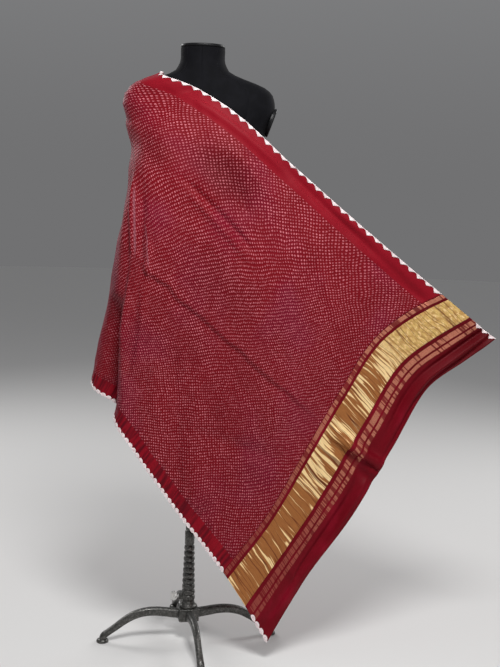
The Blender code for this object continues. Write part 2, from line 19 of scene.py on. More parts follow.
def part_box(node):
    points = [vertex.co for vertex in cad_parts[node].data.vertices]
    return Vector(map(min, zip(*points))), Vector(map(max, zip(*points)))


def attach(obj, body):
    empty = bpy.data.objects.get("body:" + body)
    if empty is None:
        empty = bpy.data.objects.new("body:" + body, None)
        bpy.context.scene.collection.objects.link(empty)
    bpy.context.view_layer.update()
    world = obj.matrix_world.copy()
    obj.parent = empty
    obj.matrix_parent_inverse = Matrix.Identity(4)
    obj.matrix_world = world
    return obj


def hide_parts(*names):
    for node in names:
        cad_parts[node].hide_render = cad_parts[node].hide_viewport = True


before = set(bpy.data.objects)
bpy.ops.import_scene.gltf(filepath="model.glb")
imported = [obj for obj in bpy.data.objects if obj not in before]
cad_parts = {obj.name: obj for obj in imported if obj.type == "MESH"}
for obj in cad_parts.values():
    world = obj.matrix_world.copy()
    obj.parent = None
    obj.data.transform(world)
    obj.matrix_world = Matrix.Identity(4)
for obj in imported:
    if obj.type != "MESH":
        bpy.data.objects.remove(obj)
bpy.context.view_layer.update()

ROOT_BODY = "dupatta_and_stand"
SCREW_BODY = "clamp_screw"
pole_low, pole_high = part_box("pole")
POLE_AT = Vector(((pole_low[0] + pole_high[0]) / 2, (pole_low[1] + pole_high[1]) / 2, 0.0))

# %% [markdown]
# ## Helpers for shapes
#
# Every shape is worked out with the stand's pole as its Z axis, because that keeps the numbers simple.
# `finish_piece` then moves the mesh, not the object, to where the pole stands among the solids.
# An object that sits at the origin keeps patterns on object coordinates in place.

# %% Finish a piece
SHARP_EDGE = 50  # degrees


def add_object(name, data):
    """An object with the given data, linked into the scene."""
    thing = bpy.data.objects.new(name, data)
    bpy.context.scene.collection.objects.link(thing)
    return thing


def to_mesh(form, name):
    """The mesh of a bmesh, which is freed."""
    mesh = bpy.data.meshes.new(name)
    form.to_mesh(mesh)
    form.free()
    return mesh


def finish_piece(form, name, material, slot, *solids, body=ROOT_BODY, sharp_angle=SHARP_EDGE):
    """A shaded piece from a bmesh. It takes the place of the solids that are named."""
    bmesh.ops.translate(form, vec=POLE_AT, verts=form.verts)
    mesh = to_mesh(form, name)
    mesh.shade_smooth()
    if sharp_angle is not None:
        mesh.set_sharp_from_angle(angle=math.radians(sharp_angle))
    mesh.materials.append(material)
    piece = add_object(name, mesh)
    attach(piece, body)
    if solids:
        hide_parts(*solids)
    print(f"{name}: {len(mesh.polygons)} faces")
    return piece


def move_to(verts, places):
    for vert, place in zip(verts, places):
        vert.co = place


def outward(form):
    """Merges doubles and turns the faces of a closed shape outwards."""
    bmesh.ops.remove_doubles(form, verts=form.verts, dist=1e-6)
    bmesh.ops.recalc_face_normals(form, faces=form.faces)


# %% Turn a profile on an axis
def turned(profile, steps, placing=Matrix()):
    """A placed solid of revolution about Z, from (radius, height) points that start and end on the axis."""
    form = bmesh.new()
    line = [form.verts.new((radius, 0.0, height)) for radius, height in profile]
    edges = [form.edges.new(pair) for pair in zip(line, line[1:])]
    bmesh.ops.spin(
        form, geom=line + edges, cent=(0, 0, 0), axis=(0, 0, 1), dvec=(0, 0, 0),
        angle=2 * math.pi, steps=steps, use_merge=True, use_duplicate=False,
    )
    outward(form)
    bmesh.ops.transform(form, matrix=placing, verts=form.verts)
    return form


# %% Raise a wall through rings
def raised(rings, placing=Matrix()):
    """A placed solid through rings of points. The first ring is a flat cap that is pulled up ring by ring."""
    form = bmesh.new()
    ring = bmesh.ops.create_circle(form, cap_ends=True, segments=len(rings[0]), radius=1.0)["verts"]
    move_to(ring, rings[0])
    cap = ring[0].link_faces[0]
    for places in rings[1:]:
        cap = bmesh.ops.extrude_discrete_faces(form, faces=[cap])["faces"][0]
        move_to(cap.verts, places)
    bmesh.ops.holes_fill(form, edges=[edge for edge in form.edges if edge.is_boundary])
    outward(form)
    bmesh.ops.transform(form, matrix=placing, verts=form.verts)
    return form


# %% [markdown]
# ## Helpers for finishes
#
# A finish is a small circuit of nodes that ends in a shader. Adding and linking each node by hand takes many
# lines, so a small class does both at once, and each finish reads from its pattern to its shader.
# An effect that several finishes share is a group with named sockets, built once.

# %% A short way to wire nodes
class Wiring:
    """Adds nodes to a tree and links them. A value may be a number, a tuple or another node's output."""

    def __init__(self, tree, last):
        self.tree = tree
        self.last = last

    def link(self, value, socket):
        """Links a node's output to a socket, or sets the socket. A colour is given without its alpha."""
        if isinstance(value, bpy.types.NodeSocket):
            self.tree.links.new(value, socket)
        else:
            socket.default_value = (*value, 1) if socket.type == "RGBA" else value

    def feed(self, **inputs):
        """Gives values to the last node: a finish's shader or a group's output."""
        for name, value in inputs.items():
            self.link(value, self.last.inputs[name.replace("_", " ")])

    def node(self, kind, settings=None, **inputs):
        made = self.tree.nodes.new(kind)
        for name, value in (settings or {}).items():
            setattr(made, name, value)
        for name, value in inputs.items():
            self.link(value, made.inputs[name])
        return made

    def operate(self, kind, operation, values):
        made = self.node(kind, {"operation": operation})
        for socket, value in zip(made.inputs, values):
            self.link(value, socket)
        return made.outputs

    def math(self, operation, *values):
        return self.operate("ShaderNodeMath", operation, values)[0]

    def vector(self, operation, *values):
        number = operation in ("LENGTH", "DOT_PRODUCT")
        return self.operate("ShaderNodeVectorMath", operation, values)["Value" if number else "Vector"]

    def times(self, value, factor, plus=None):
        """The value times a factor, and plus something where that is given."""
        if plus is None:
            return self.math("MULTIPLY", value, factor)
        return self.math("MULTIPLY_ADD", value, factor, plus)

    def fade(self, value, start, stop, low=0.0, high=1.0):
        """A soft step of the value from low at start to high at stop."""
        made = self.node("ShaderNodeMapRange", {"interpolation_type": "SMOOTHSTEP"})
        labels = ("Value", "From Min", "From Max", "To Min", "To Max")
        for label, given in zip(labels, (value, start, stop, low, high)):
            self.link(given, made.inputs[label])
        return made.outputs["Result"]

    def within(self, value, start, stop, edge):
        """1 between start and stop, with a soft edge at both."""
        begun = self.fade(value, start - edge, start + edge)
        return self.times(begun, self.fade(value, stop + edge, stop - edge))

    def blend(self, share, first, second, kind="MIX"):
        """The first colour where the share is 0 and the second where it is 1, or the two multiplied."""
        made = self.node("ShaderNodeMix", {"data_type": "RGBA", "blend_type": kind}, Factor=share)
        self.link(first, made.inputs[6])
        self.link(second, made.inputs[7])
        return made.outputs[2]

    def noise(self, place, scale, detail=2.0, roughness=0.5):
        """Cloudy noise. A scale of three numbers stretches it."""
        if isinstance(scale, tuple):
            place, scale = self.vector("MULTIPLY", place, scale), 1.0
        made = self.node("ShaderNodeTexNoise", Vector=place, Scale=scale, Detail=detail, Roughness=roughness)
        return made.outputs["Fac"]

    def split(self, place):
        return self.node("ShaderNodeSeparateXYZ", Vector=place).outputs

    def join(self, **parts):
        return self.node("ShaderNodeCombineXYZ", **parts).outputs["Vector"]

    def uv(self, name):
        return self.node("ShaderNodeUVMap", {"uv_map": name}).outputs["UV"]

    def on_object(self):
        return self.node("ShaderNodeTexCoord").outputs["Object"]

    def group(self, name, **inputs):
        return self.node("ShaderNodeGroup", {"node_tree": bpy.data.node_groups[name]}, **inputs).outputs

    def bump(self, height, distance, strength):
        made = self.node("ShaderNodeBump", Height=height, Distance=distance, Strength=strength)
        self.feed(Normal=made.outputs["Normal"])


# %% Start a group or a finish
VECTOR = "NodeSocketVector"
FLOAT = "NodeSocketFloat"
COLOUR = "NodeSocketColor"


def new_group(name, inputs, outputs):
    """An empty node group with its sockets: its wiring, and what it is given."""
    tree = bpy.data.node_groups.new(name, "ShaderNodeTree")
    for in_out, sockets in (("INPUT", inputs), ("OUTPUT", outputs)):
        for label, kind in sockets.items():
            tree.interface.new_socket(label, in_out=in_out, socket_type=kind)
    return Wiring(tree, tree.nodes.new("NodeGroupOutput")), tree.nodes.new("NodeGroupInput").outputs


def new_finish(name, **sockets):
    """A material with its Principled shader, its constants set on the shader's own sockets."""
    material = bpy.data.materials.new(name)
    material.use_nodes = True
    wires = Wiring(material.node_tree, material.node_tree.nodes["Principled BSDF"])
    wires.feed(**sockets)
    return material, wires


# %% [markdown]
# ## Camera
#
# The camera stands about three metres in front, at chest height, and looks slightly down.
# It is a little rolled, as a hand-held one is. The lens is long enough to keep the cloth's edges straight.

# %% Camera
CAMERA_FROM_POLE = Vector((0.143, -3.0, 1.21))
CAMERA_PITCH = math.radians(7.125)
CAMERA_ROLL = math.radians(1.909)
SENSOR_MM = 36.0
FOCAL_SHARE = 1155 / 667

camera_data = bpy.data.cameras.new("camera")
camera_data.sensor_width = SENSOR_MM
camera_data.lens = SENSOR_MM * FOCAL_SHARE
camera = add_object("camera", camera_data)
camera.matrix_world = (
    Matrix.Translation(CAMERA_FROM_POLE + POLE_AT)
    @ Matrix.Rotation(math.radians(90) - CAMERA_PITCH, 4, "X")
    @ Matrix.Rotation(CAMERA_ROLL, 4, "Z")
)
bpy.context.scene.camera = camera
print(f"lens {camera_data.lens:.1f} mm")

# %% [markdown]
# ## Floor and light
#
# A studio has a plain pale floor and soft lamps. The key lamp hangs high in front, a little to the right, and
# is close, so folds show a bright and a dark side. A wide weak lamp on the right and a faint one at the upper
# left fill the shadows, and two behind light the floor and the edges of the form.

# %% Floor
FLOOR_RADIUS = 14.0
FLOOR_STEPS = 96
FLOOR_GREY = (0.70, 0.69, 0.68)

floor_form = bmesh.new()
bmesh.ops.create_circle(floor_form, cap_ends=True, segments=FLOOR_STEPS, radius=FLOOR_RADIUS)
floor_mesh = to_mesh(floor_form, "floor")
floor_paint, _ = new_finish("pale_floor", Base_Color=FLOOR_GREY, Roughness=0.8)
floor_mesh.materials.append(floor_paint)
add_object("floor", floor_mesh)
print(f"floor {2 * FLOOR_RADIUS:.0f} m across")

# %% Lamps
LAMPS = (
    # name, place from the pole, size, watts
    ("key_lamp", (0.35, -1.80, 3.0), 0.9, 66),
    ("fill_lamp", (2.2, -2.8, 1.3), 2.0, 8),
    ("left_lamp", (-1.7, -1.1, 2.2), 1.2, 1.5),
    ("rear_left_lamp", (-2.2, 2.4, 2.4), 1.6, 42),
    ("rear_right_lamp", (2.4, 2.2, 2.4), 1.6, 42),
)
LAMPS_LOOK_AT = Vector((0.1, 0.0, 0.95))

for name, place, size, watts in LAMPS:
    lamp_data = bpy.data.lights.new(name, "AREA")
    lamp_data.shape = "DISK"
    lamp_data.size = size
    lamp_data.energy = watts
    lamp = add_object(name, lamp_data)
    lamp.location = Vector(place) + POLE_AT
    lamp.rotation_euler = (LAMPS_LOOK_AT - Vector(place)).to_track_quat("-Z", "Y").to_euler()
print("lamps:", len(LAMPS))

# %% Sky
SKY_HIGH = (0.80, 0.81, 0.83)
SKY_AT_FLOOR = (0.55, 0.55, 0.56)
SKY_RISE = 0.35
SKY_STRENGTH = 0.30

sky = bpy.data.worlds.new("studio")
sky.use_nodes = True
wires = Wiring(sky.node_tree, sky.node_tree.nodes["Background"])
looking = wires.split(wires.node("ShaderNodeTexCoord").outputs["Generated"])
shade = wires.blend(wires.fade(looking["Z"], 0.0, SKY_RISE), SKY_AT_FLOOR, SKY_HIGH)
wires.feed(Color=shade, Strength=SKY_STRENGTH)
bpy.context.scene.world = sky
bpy.context.scene.view_settings.view_transform = "Standard"
print("sky strength", SKY_STRENGTH)

# %% [markdown]
# ## The flat cloth and where it lies
#
# A place on the cloth has two distances on the flat cloth: `along`, from the drawn-out end, and `across`,
# from the upper edge. A maker drapes by deciding where a few lines on the cloth go, and lets the rest follow.
# Here seven sections across the cloth are given for the front, and the rear answers to them.

# %% Sizes of the cloth
LENGTH = 2.24
WIDTH = 0.98
SHOULDER = LENGTH / 2
TEETH = 83
PITCH = LENGTH / TEETH
ACROSS_SHARES = (0.0, 0.1, 0.2, 0.4, 0.6, 0.8, 1.0)
SECTIONS = (
    # along, then x, y, z at each share of the width
    (0.000, (0.760, -0.115, 0.857), (0.685, -0.120, 0.797), (0.607, -0.125, 0.738), (0.512, -0.130, 0.567),
     (0.421, -0.135, 0.397), (0.312, -0.140, 0.234), (0.213, -0.140, 0.052)),
    (0.193, (0.636, -0.118, 0.952), (0.553, -0.124, 0.906), (0.482, -0.130, 0.850), (0.385, -0.135, 0.693),
     (0.299, -0.140, 0.530), (0.212, -0.143, 0.369), (0.107, -0.143, 0.218)),
    (0.460, (0.423, -0.120, 1.119), (0.368, -0.126, 1.056), (0.317, -0.132, 0.990), (0.225, -0.140, 0.847),
     (0.140, -0.144, 0.698), (0.048, -0.144, 0.554), (-0.046, -0.142, 0.413)),
    (0.720, (0.222, -0.113, 1.283), (0.183, -0.124, 1.213), (0.146, -0.133, 1.143), (0.070, -0.141, 1.003),
     (-0.012, -0.143, 0.868), (-0.100, -0.138, 0.735), (-0.187, -0.128, 0.606)),
    (0.900, (0.083, -0.104, 1.400), (0.040, -0.124, 1.325), (-0.002, -0.137, 1.250), (-0.080, -0.141, 1.108),
     (-0.150, -0.130, 0.962), (-0.200, -0.112, 0.815), (-0.240, -0.085, 0.668)),
    (1.010, (-0.010, -0.078, 1.455), (-0.070, -0.090, 1.398), (-0.115, -0.105, 1.325),
     (-0.165, -0.098, 1.165), (-0.198, -0.080, 1.005), (-0.229, -0.060, 0.845), (-0.257, -0.040, 0.690)),
    (1.120, (-0.106, 0.000, 1.499), (-0.174, 0.000, 1.459), (-0.191, 0.000, 1.380), (-0.183, 0.000, 1.208),
     (-0.212, 0.000, 1.036), (-0.234, 0.000, 0.866), (-0.263, 0.000, 0.696)),
)
REAR_DEPTH = 0.86
REAR_RISE_AT_HEM = 0.05
REAR_DROP_AT_TOP = 0.02
REAR_INSET = 0.03
REAR_LAYER_GAP = 0.035
REAR_BLEND = 0.35
END_CLOSING = 0.60
print(f"cloth {LENGTH} by {WIDTH} m, one tooth of the tape every {PITCH * 1000:.1f} mm")

# %% Folds listed one by one
UPRIGHT_FOLDS = (
    # plan angle from the front (0) past the left (90), half_width, out, low, high
    (54.0, 6.0, 0.012, 0.45, 0.93),
    (65.0, 7.0, -0.050, 0.45, 0.95),
    (84.0, 8.0, 0.006, 0.45, 0.90),
    (90.0, 30.0, -0.024, 1.34, 1.375),
    (63.0, 6.0, 0.006, 1.00, 1.22),
    (47.0, 6.0, 0.006, 0.92, 1.06),
    (55.0, 5.0, -0.005, 0.98, 1.16),
    (34.0, 9.0, 0.007, 0.54, 0.84),
    (14.0, 11.0, -0.007, 0.50, 0.82),
    (-6.0, 12.0, 0.007, 0.46, 0.78),
    (-28.0, 11.0, -0.006, 0.40, 0.72),
    (110.0, 7.0, -0.034, 0.45, 0.98),
    (128.0, 8.0, 0.010, 0.86, 1.15),
    (146.0, 9.0, -0.008, 0.74, 0.95),
    (166.0, 10.0, 0.008, 0.66, 0.92),
)
FOLD_FADE = 0.10
STEP_SOFTNESS = 0.0045
CREASE_WANDER = 0.0055
CREASE_WAVE = 0.040
CREASES = (
    # front (-1) or rear (1), x0, z0, x1, z1, out, half_width, step
    (-1, -0.128, 1.010, 0.290, 0.660, 0.0050, 0.022, True),
    (-1, 0.360, 0.610, 0.505, 0.495, 0.010, 0.018, False),
    (-1, 0.345, 0.585, 0.480, 0.470, -0.007, 0.016, False),
    (-1, 0.740, 0.850, 0.560, 0.640, 0.006, 0.020, False),
    (-1, 0.730, 0.830, 0.590, 0.700, -0.006, 0.014, False),
    (-1, 0.320, 0.420, 0.250, 0.150, 0.006, 0.020, False),
    (1, -0.100, 1.050, 0.300, 0.720, 0.009, 0.035, True),
    (1, 0.350, 0.900, 0.420, 0.500, 0.007, 0.030, False),
    (1, 0.120, 0.750, 0.260, 0.350, -0.008, 0.030, False),
)

# %% The dress form's sizes
FORM_ROUNDNESS = 2.2
FORM_SECTIONS = (
    # z, half_width, front, back
    (0.780, 0.160, 0.100, 0.105), (0.800, 0.166, 0.104, 0.110), (0.860, 0.168, 0.105, 0.112),
    (0.940, 0.146, 0.094, 0.094), (1.040, 0.118, 0.086, 0.078), (1.120, 0.134, 0.098, 0.084),
    (1.200, 0.154, 0.120, 0.094), (1.260, 0.162, 0.128, 0.100), (1.320, 0.164, 0.112, 0.102),
    (1.345, 0.164, 0.104, 0.100), (1.375, 0.174, 0.094, 0.097), (1.410, 0.187, 0.084, 0.090),
    (1.435, 0.185, 0.075, 0.080), (1.455, 0.175, 0.068, 0.071), (1.470, 0.152, 0.063, 0.064),
    (1.484, 0.112, 0.060, 0.059), (1.500, 0.073, 0.058, 0.057), (1.516, 0.061, 0.056, 0.055),
    (1.560, 0.056, 0.054, 0.053),
)
CLOTH_CLEARANCE = 0.0024
SHOULDER_CLEARANCE = 0.012
SHOULDER_SLOPE = (1.43, 1.47)
REACH_OVER_PLATES = (
    # z, half_width that the cloth clears
    (1.320, 0.160), (1.345, 0.172), (1.380, 0.188), (1.415, 0.199), (1.440, 0.193), (1.470, 0.150),
)

# %% Curves through a table
def smooth(x):
    """0 below 0, 1 above 1, with level ends."""
    x = np.clip(x, 0.0, 1.0)
    return x * x * (3.0 - 2.0 * x)


def between(x, start, stop, fade_in, fade_out):
    """1 between start and stop, where it fades to 0 over the two lengths that are given."""
    return smooth((x - start) / fade_in) * smooth((stop - x) / fade_out)


def beside_line(x, y, x0, y0, x1, y1):
    """For each place: its share of the way along a line, how far it lies off it, and the line's length."""
    run = math.hypot(x1 - x0, y1 - y0)
    ux, uy = (x1 - x0) / run, (y1 - y0) / run
    return ((x - x0) * ux + (y - y0) * uy) / run, (y - y0) * ux - (x - x0) * uy, run


def run_along(points):
    """The distance along a line of points, from its start to each of them."""
    return np.concatenate([[0.0], np.cumsum(np.linalg.norm(np.diff(points, axis=0), axis=1))])


def curve_through(knots, values, at):
    """A smooth curve through the values at the knots, read at each place in `at`."""
    knots = np.asarray(knots, float)
    values = np.asarray(values, float)
    slopes = np.gradient(values, knots, axis=0)
    left = np.clip(np.searchsorted(knots, at, side="right") - 1, 0, len(knots) - 2)
    spread = (slice(None),) + (None,) * (values.ndim - 1)
    span = (knots[left + 1] - knots[left])[spread]
    u = ((at - knots[left]) / (knots[left + 1] - knots[left]))[spread]
    start = values[left] * (2 * u**3 - 3 * u**2 + 1) + slopes[left] * span * (u**3 - 2 * u**2 + u)
    end = values[left + 1] * (3 * u**2 - 2 * u**3) + slopes[left + 1] * span * (u**3 - u**2)
    return start + end


def unit(vectors):
    return vectors / np.linalg.norm(vectors, axis=-1, keepdims=True)


# %% Lay the cloth without folds
def clear_of_form(points):
    """The points, moved level outwards where they would lie in the dress form or touch it."""
    x, y, z = np.moveaxis(points, -1, 0)
    table = np.array(FORM_SECTIONS)
    at_form = (z > table[0, 0]) & (z < table[-1, 0])
    wide, front, back = [np.where(at_form, np.interp(z, table[:, 0], table[:, k]), 0.0) for k in (1, 2, 3)]
    plates = np.array(REACH_OVER_PLATES)
    wide = np.maximum(wide, np.interp(z, plates[:, 0], plates[:, 1], left=0.0, right=0.0))
    slope_foot, slope_top = SHOULDER_SLOPE
    gap = CLOTH_CLEARANCE + SHOULDER_CLEARANCE * smooth((z - slope_foot) / (slope_top - slope_foot))
    wide = wide + gap
    deep = np.where(y < 0, front, back) + gap
    reach = (np.abs(x) / wide) ** FORM_ROUNDNESS + (np.abs(y) / deep) ** FORM_ROUNDNESS
    inside = (reach < 1.0) & (wide > gap)
    push = np.where(inside, np.maximum(reach, 1e-3) ** (-1 / FORM_ROUNDNESS), 1.0)
    return np.stack([x * push, y * push, z], axis=-1)


def rear_section(along, points):
    """The section behind that answers to a front one: mirrored, raised at its hem and closing on the end."""
    share = np.array(ACROSS_SHARES)
    x, y, z = np.array(points).T
    away = smooth((SHOULDER - along) / REAR_BLEND)
    closing = smooth(1.0 - along / END_CLOSING)
    x = x - REAR_INSET * away * (1.0 - share)
    z = z + away * (REAR_RISE_AT_HEM * share - REAR_DROP_AT_TOP * (1.0 - share))
    y = (1.0 - closing) * (-REAR_DEPTH * y) + closing * (y + REAR_LAYER_GAP)
    return LENGTH - along, np.stack([x, y, z], axis=-1)


front_sections = [(row[0], np.array(row[1:])) for row in SECTIONS]
rear_sections = [rear_section(row[0], row[1:]) for row in SECTIONS[-2::-1]]
section_places, section_points = map(np.array, zip(*(front_sections + rear_sections)))


def plain_drape(along, across):
    """The cloth without its folds, as a grid of points for lists of places along and across."""
    lines = curve_through(ACROSS_SHARES, np.moveaxis(section_points, 1, 0), np.asarray(across) / WIDTH)
    grid = curve_through(section_places, np.moveaxis(lines, 1, 0), np.asarray(along))
    return clear_of_form(grid)


def facing(surface, along, across, step=0.002):
    """The outward direction of a surface, from points a short step away on each side."""
    low, high = np.clip(along - step, 0, LENGTH), np.clip(along + step, 0, LENGTH)
    near, far = np.clip(across - step, 0, WIDTH), np.clip(across + step, 0, WIDTH)
    down_length = surface(high, across) - surface(low, across)
    down_width = surface(along, far) - surface(along, near)
    return unit(np.cross(down_length, down_width))


# %% Uneven swells
MOST_WAVES = 400


def uneven(along, across, wave_along, wave_across, seed):
    """Soft random swells from -1 to 1, with one size of wave along the cloth and another across."""
    draws = np.random.default_rng(seed).uniform(-1.0, 1.0, (MOST_WAVES, MOST_WAVES))
    i, j = along / wave_along, across / wave_across
    i0, j0 = np.floor(i).astype(int), np.floor(j).astype(int)
    u, v = smooth(i - i0), smooth(j - j0)
    i0, j0 = i0 % (MOST_WAVES - 1), j0 % (MOST_WAVES - 1)
    near = draws[i0, j0] * (1 - u) + draws[i0 + 1, j0] * u
    far = draws[i0, j0 + 1] * (1 - u) + draws[i0 + 1, j0 + 1] * u
    return near * (1 - v) + far * v


# %% Add the main folds
CREASE_ENDS = (-0.12, 1.12, 0.24, 0.24)
CREASE_SEED = 21
SIDE_BLEND = 0.02
LAYERS_CLOSE = 0.25


def upright_relief(points):
    """How far the upright folds stand out at each point."""
    x, y, z = np.moveaxis(points, -1, 0)
    angle = np.degrees(np.arctan2(-x, -y))
    relief = np.zeros(x.shape)
    for centre, half_width, out, low, high in UPRIGHT_FOLDS:
        round_form = np.exp(-(((angle - centre) / half_width) ** 2))
        relief += out * round_form * between(z, low - FOLD_FADE, high, FOLD_FADE, FOLD_FADE)
    return relief


def crease_relief(points):
    """How far the slanting creases stand out. Where the layers close, both take the front's creases."""
    x, y, z = np.moveaxis(points, -1, 0)
    relief = np.zeros(x.shape)
    front = smooth(-y / SIDE_BLEND + 0.5 + np.where(x > LAYERS_CLOSE, 2.0, 0.0))
    for side, *line, out, half_width, step in CREASES:
        share, off, run = beside_line(x, z, *line)
        if step:
            off = off + CREASE_WANDER * uneven(share * run, share * 0.0, CREASE_WAVE, 1.0, CREASE_SEED)
            profile = np.tanh(off / STEP_SOFTNESS) * np.exp(-np.abs(off) / half_width)
        else:
            profile = np.exp(-((off / half_width) ** 2))
        relief += out * profile * between(share, *CREASE_ENDS) * (front if side < 0 else 1.0 - front)
    return relief


def drape(along, across):
    """The middle of the cloth with its main folds, as a grid of points."""
    points = plain_drape(along, across)
    front = np.asarray(along)[:, None] <= SHOULDER
    marked = points.copy()
    marked[..., 1] = np.where(front, np.minimum(points[..., 1], 0.0), np.maximum(points[..., 1], 0.001))
    relief = upright_relief(marked) + crease_relief(marked)
    return points + facing(plain_drape, along, across) * relief[..., None]


# %% [markdown]
# ## Small folds
#
# Tied and dyed silk never lies quite flat: the tying leaves it crinkled. Its lower border is drawn up by the
# tape and puckers square to the edge, and the stiff gold band cracks into sharp creases along the threads.
# Those are soft random swells, each kind with its own size of wave, so no two are alike. The soft folds that
# the hang of the cloth makes are listed one by one, each as a line on the flat cloth.

# %% Kinds of small fold
END_TEETH = 4
BAND_TEETH = 8
END_STOP = END_TEETH * PITCH
BAND_START = 0.062
BAND_STOP = BAND_TEETH * PITCH
BAND_FADE = 0.02
END_REACH = BAND_START + 0.03
END_FADE = 0.05
END_SLANT = 0.12
SLANT_SHARE = 0.3
CRACK_HEIGHT = 0.0015
CRACK_MIDDLE = 0.6
CRACK_SHARPNESS = 0.7

# Each kind has a height, the size of its waves along and across, and a seed.
BAND_DRIFT = (0.010, 0.09, 0.05, 1)
LONG_CRACKS = (1.0, 0.11, 0.017, 7)
SHORT_CRACKS = (0.6, 0.05, 0.009, 8)
PUCKER_DRIFT = (0.006, 0.05, 0.12, 2)
LOWER_PUCKERS = (0.0026, 0.0150, 0.09, 3)
UPPER_PUCKERS = (0.0005, 0.010, 0.06, 4)
FIELD_SWELLS = (0.0016, 0.055, 0.055, 5)
SLANTING_SWELLS = (0.0008, 0.021, 0.10, 6)
END_FOLDS = (0.0050, 0.021, 0.22, 9)

# Where a kind shows: its start, its stop, and how far it fades in and out.
LOWER_PUCKERED = (0.008, 0.105, 0.012, 0.07)
UPPER_PUCKERED = (0.008, 0.075, 0.012, 0.06)
BAND_CRACKED = (BAND_START - 0.02, BAND_STOP + 0.012, 0.02, 0.02)
FOLD_ENDS = (-0.20, 1.20, 0.40, 0.40)
SOFT_FOLDS = (
    # along0, across0, along1, across1, out, half_width
    (1.020, 0.330, 0.950, 0.520, 0.0120, 0.010),
    (0.985, 0.330, 0.925, 0.500, -0.0060, 0.010),
    (0.912, 0.460, 0.872, 0.540, 0.0080, 0.010),
    (0.935, 0.560, 0.850, 0.780, 0.0070, 0.012),
    (0.885, 0.580, 0.800, 0.820, -0.0070, 0.013),
    (0.850, 0.600, 0.770, 0.830, 0.0060, 0.012),
    (0.900, 0.238, 0.690, 0.278, -0.0080, 0.009),
    (0.870, 0.130, 0.740, 0.205, -0.0090, 0.030),
    (0.880, 0.262, 0.700, 0.306, 0.0060, 0.012),
    (0.855, 0.080, 0.700, 0.120, 0.0040, 0.016),
    (0.560, 0.130, 0.330, 0.260, 0.0040, 0.022),
    (0.520, 0.780, 0.300, 0.660, -0.0040, 0.020),
    (0.120, 0.468, 0.000, 0.436, 0.0100, 0.011),
    (0.150, 0.497, 0.000, 0.460, -0.0100, 0.007),
    (0.700, 0.024, 0.260, 0.040, -0.0060, 0.010),
    (0.400, 0.062, 0.215, 0.048, -0.0080, 0.014),
    (0.560, 0.018, 0.420, 0.012, 0.0040, 0.008),
    (1.000, 0.036, 0.720, 0.030, 0.0045, 0.010),
    (0.150, 0.780, 0.010, 0.830, 0.0050, 0.012),
    (0.046, -0.020, 0.038, 0.340, -0.0080, 0.0070),
    (0.026, -0.020, 0.018, 0.300, 0.0070, 0.0070),
    (0.010, 0.060, 0.008, 0.420, -0.0060, 0.0060),
    (0.040, 0.560, 0.030, 0.900, -0.0060, 0.0070),
    (0.018, 0.480, 0.012, 0.820, 0.0050, 0.0070),
)


def swell(kind, along, across):
    """A random swell from a kind's height, its two sizes of wave and its seed."""
    height, *waves = kind
    return height * uneven(along, across, *waves)


# %% Add the small folds
def band_creases(along, across):
    """Height of the gold band's creases, which run along the threads: near 0 in a crack, about 1 between."""
    drift = across + swell(BAND_DRIFT, along, across)
    long_cracks = np.abs(swell(LONG_CRACKS, along, drift)) ** CRACK_SHARPNESS
    return long_cracks + np.abs(swell(SHORT_CRACKS, along, drift))


def soft_fold_relief(along, across):
    """How far the folds of SOFT_FOLDS stand out: each is a bell across its line that fades at both ends."""
    relief = 0.0
    for *line, out, half_width in SOFT_FOLDS:
        share, off, _ = beside_line(along, across, *line)
        relief = relief + out * between(share, *FOLD_ENDS) * np.exp(-((off / half_width) ** 2))
    return relief


def small_relief(along, across):
    """How far the small folds stand out, at matching arrays of places along and across."""
    from_hem = WIDTH - across
    drawn = along + swell(PUCKER_DRIFT, along, across)
    field = between(from_hem, *LOWER_PUCKERED) * swell(LOWER_PUCKERS, drawn, from_hem)
    field += between(across, *UPPER_PUCKERED) * swell(UPPER_PUCKERS, drawn, across)
    field += swell(FIELD_SWELLS, along, across)
    field += swell(SLANTING_SWELLS, along + across, along * SLANT_SHARE)
    band = CRACK_HEIGHT * between(along, *BAND_CRACKED) * (band_creases(along, across) - CRACK_MIDDLE)
    end = smooth((END_REACH - along) / END_FADE) * swell(END_FOLDS, along + END_SLANT * across, across)
    return smooth((along - BAND_STOP) / BAND_FADE) * field + band + end + soft_fold_relief(along, across)


def laid_cloth(along, across):
    """The finished lie of the cloth and its outward direction, as two grids."""
    flat_along, flat_across = np.meshgrid(along, across, indexing="ij")
    out = facing(drape, along, across)
    points = drape(along, across) + out * small_relief(flat_along, flat_across)[..., None]
    return points, out


# %% [markdown]
# ## Finishes
#
# Cloth patterns read the cloth's own UV maps, so they stay put in every fold: `flat` holds the place on the
# flat cloth in metres, and `dots` counts the tied dots. Tape, jersey and metal read object coordinates.
# The silk's threads and the gold thread are groups because several finishes need them. The tied dot is one
# too, which keeps its many small steps out of the silk's own circuit.

# %% Shared group: silk threads
wires, given = new_group("silk_threads", {"Flat": VECTOR}, {"Shade": FLOAT, "Height": FLOAT})
place = given["Flat"]
cloudy_dye = wires.noise(place, 9, 3)
slubs = wires.noise(place, (40, 900, 1))
threads = wires.noise(place, (1500, 500, 1))
crepe = wires.noise(place, 260, 3)
shade = wires.times(slubs, 0.10, wires.times(cloudy_dye, 0.36, 0.78))
wires.feed(Shade=shade, Height=wires.times(crepe, 0.7, wires.times(threads, 0.3)))

# %% Shared group: tied dots
CELL_SHAPE = 1.12
DOT_DRIFT = 0.20
DOT_CENTRE = 0.60
RIM_SMALLEST = 0.215
RIM_LUCK = 0.07
RIM_SOFTNESS = 0.10
KNOT_HOLE = (0.0, 0.14, 0.75, 1.0)
PEAK_SLOPE = (0.62, 0.08)
STRENGTH_LUCK = 0.45
STRENGTH_LEAST = 0.55

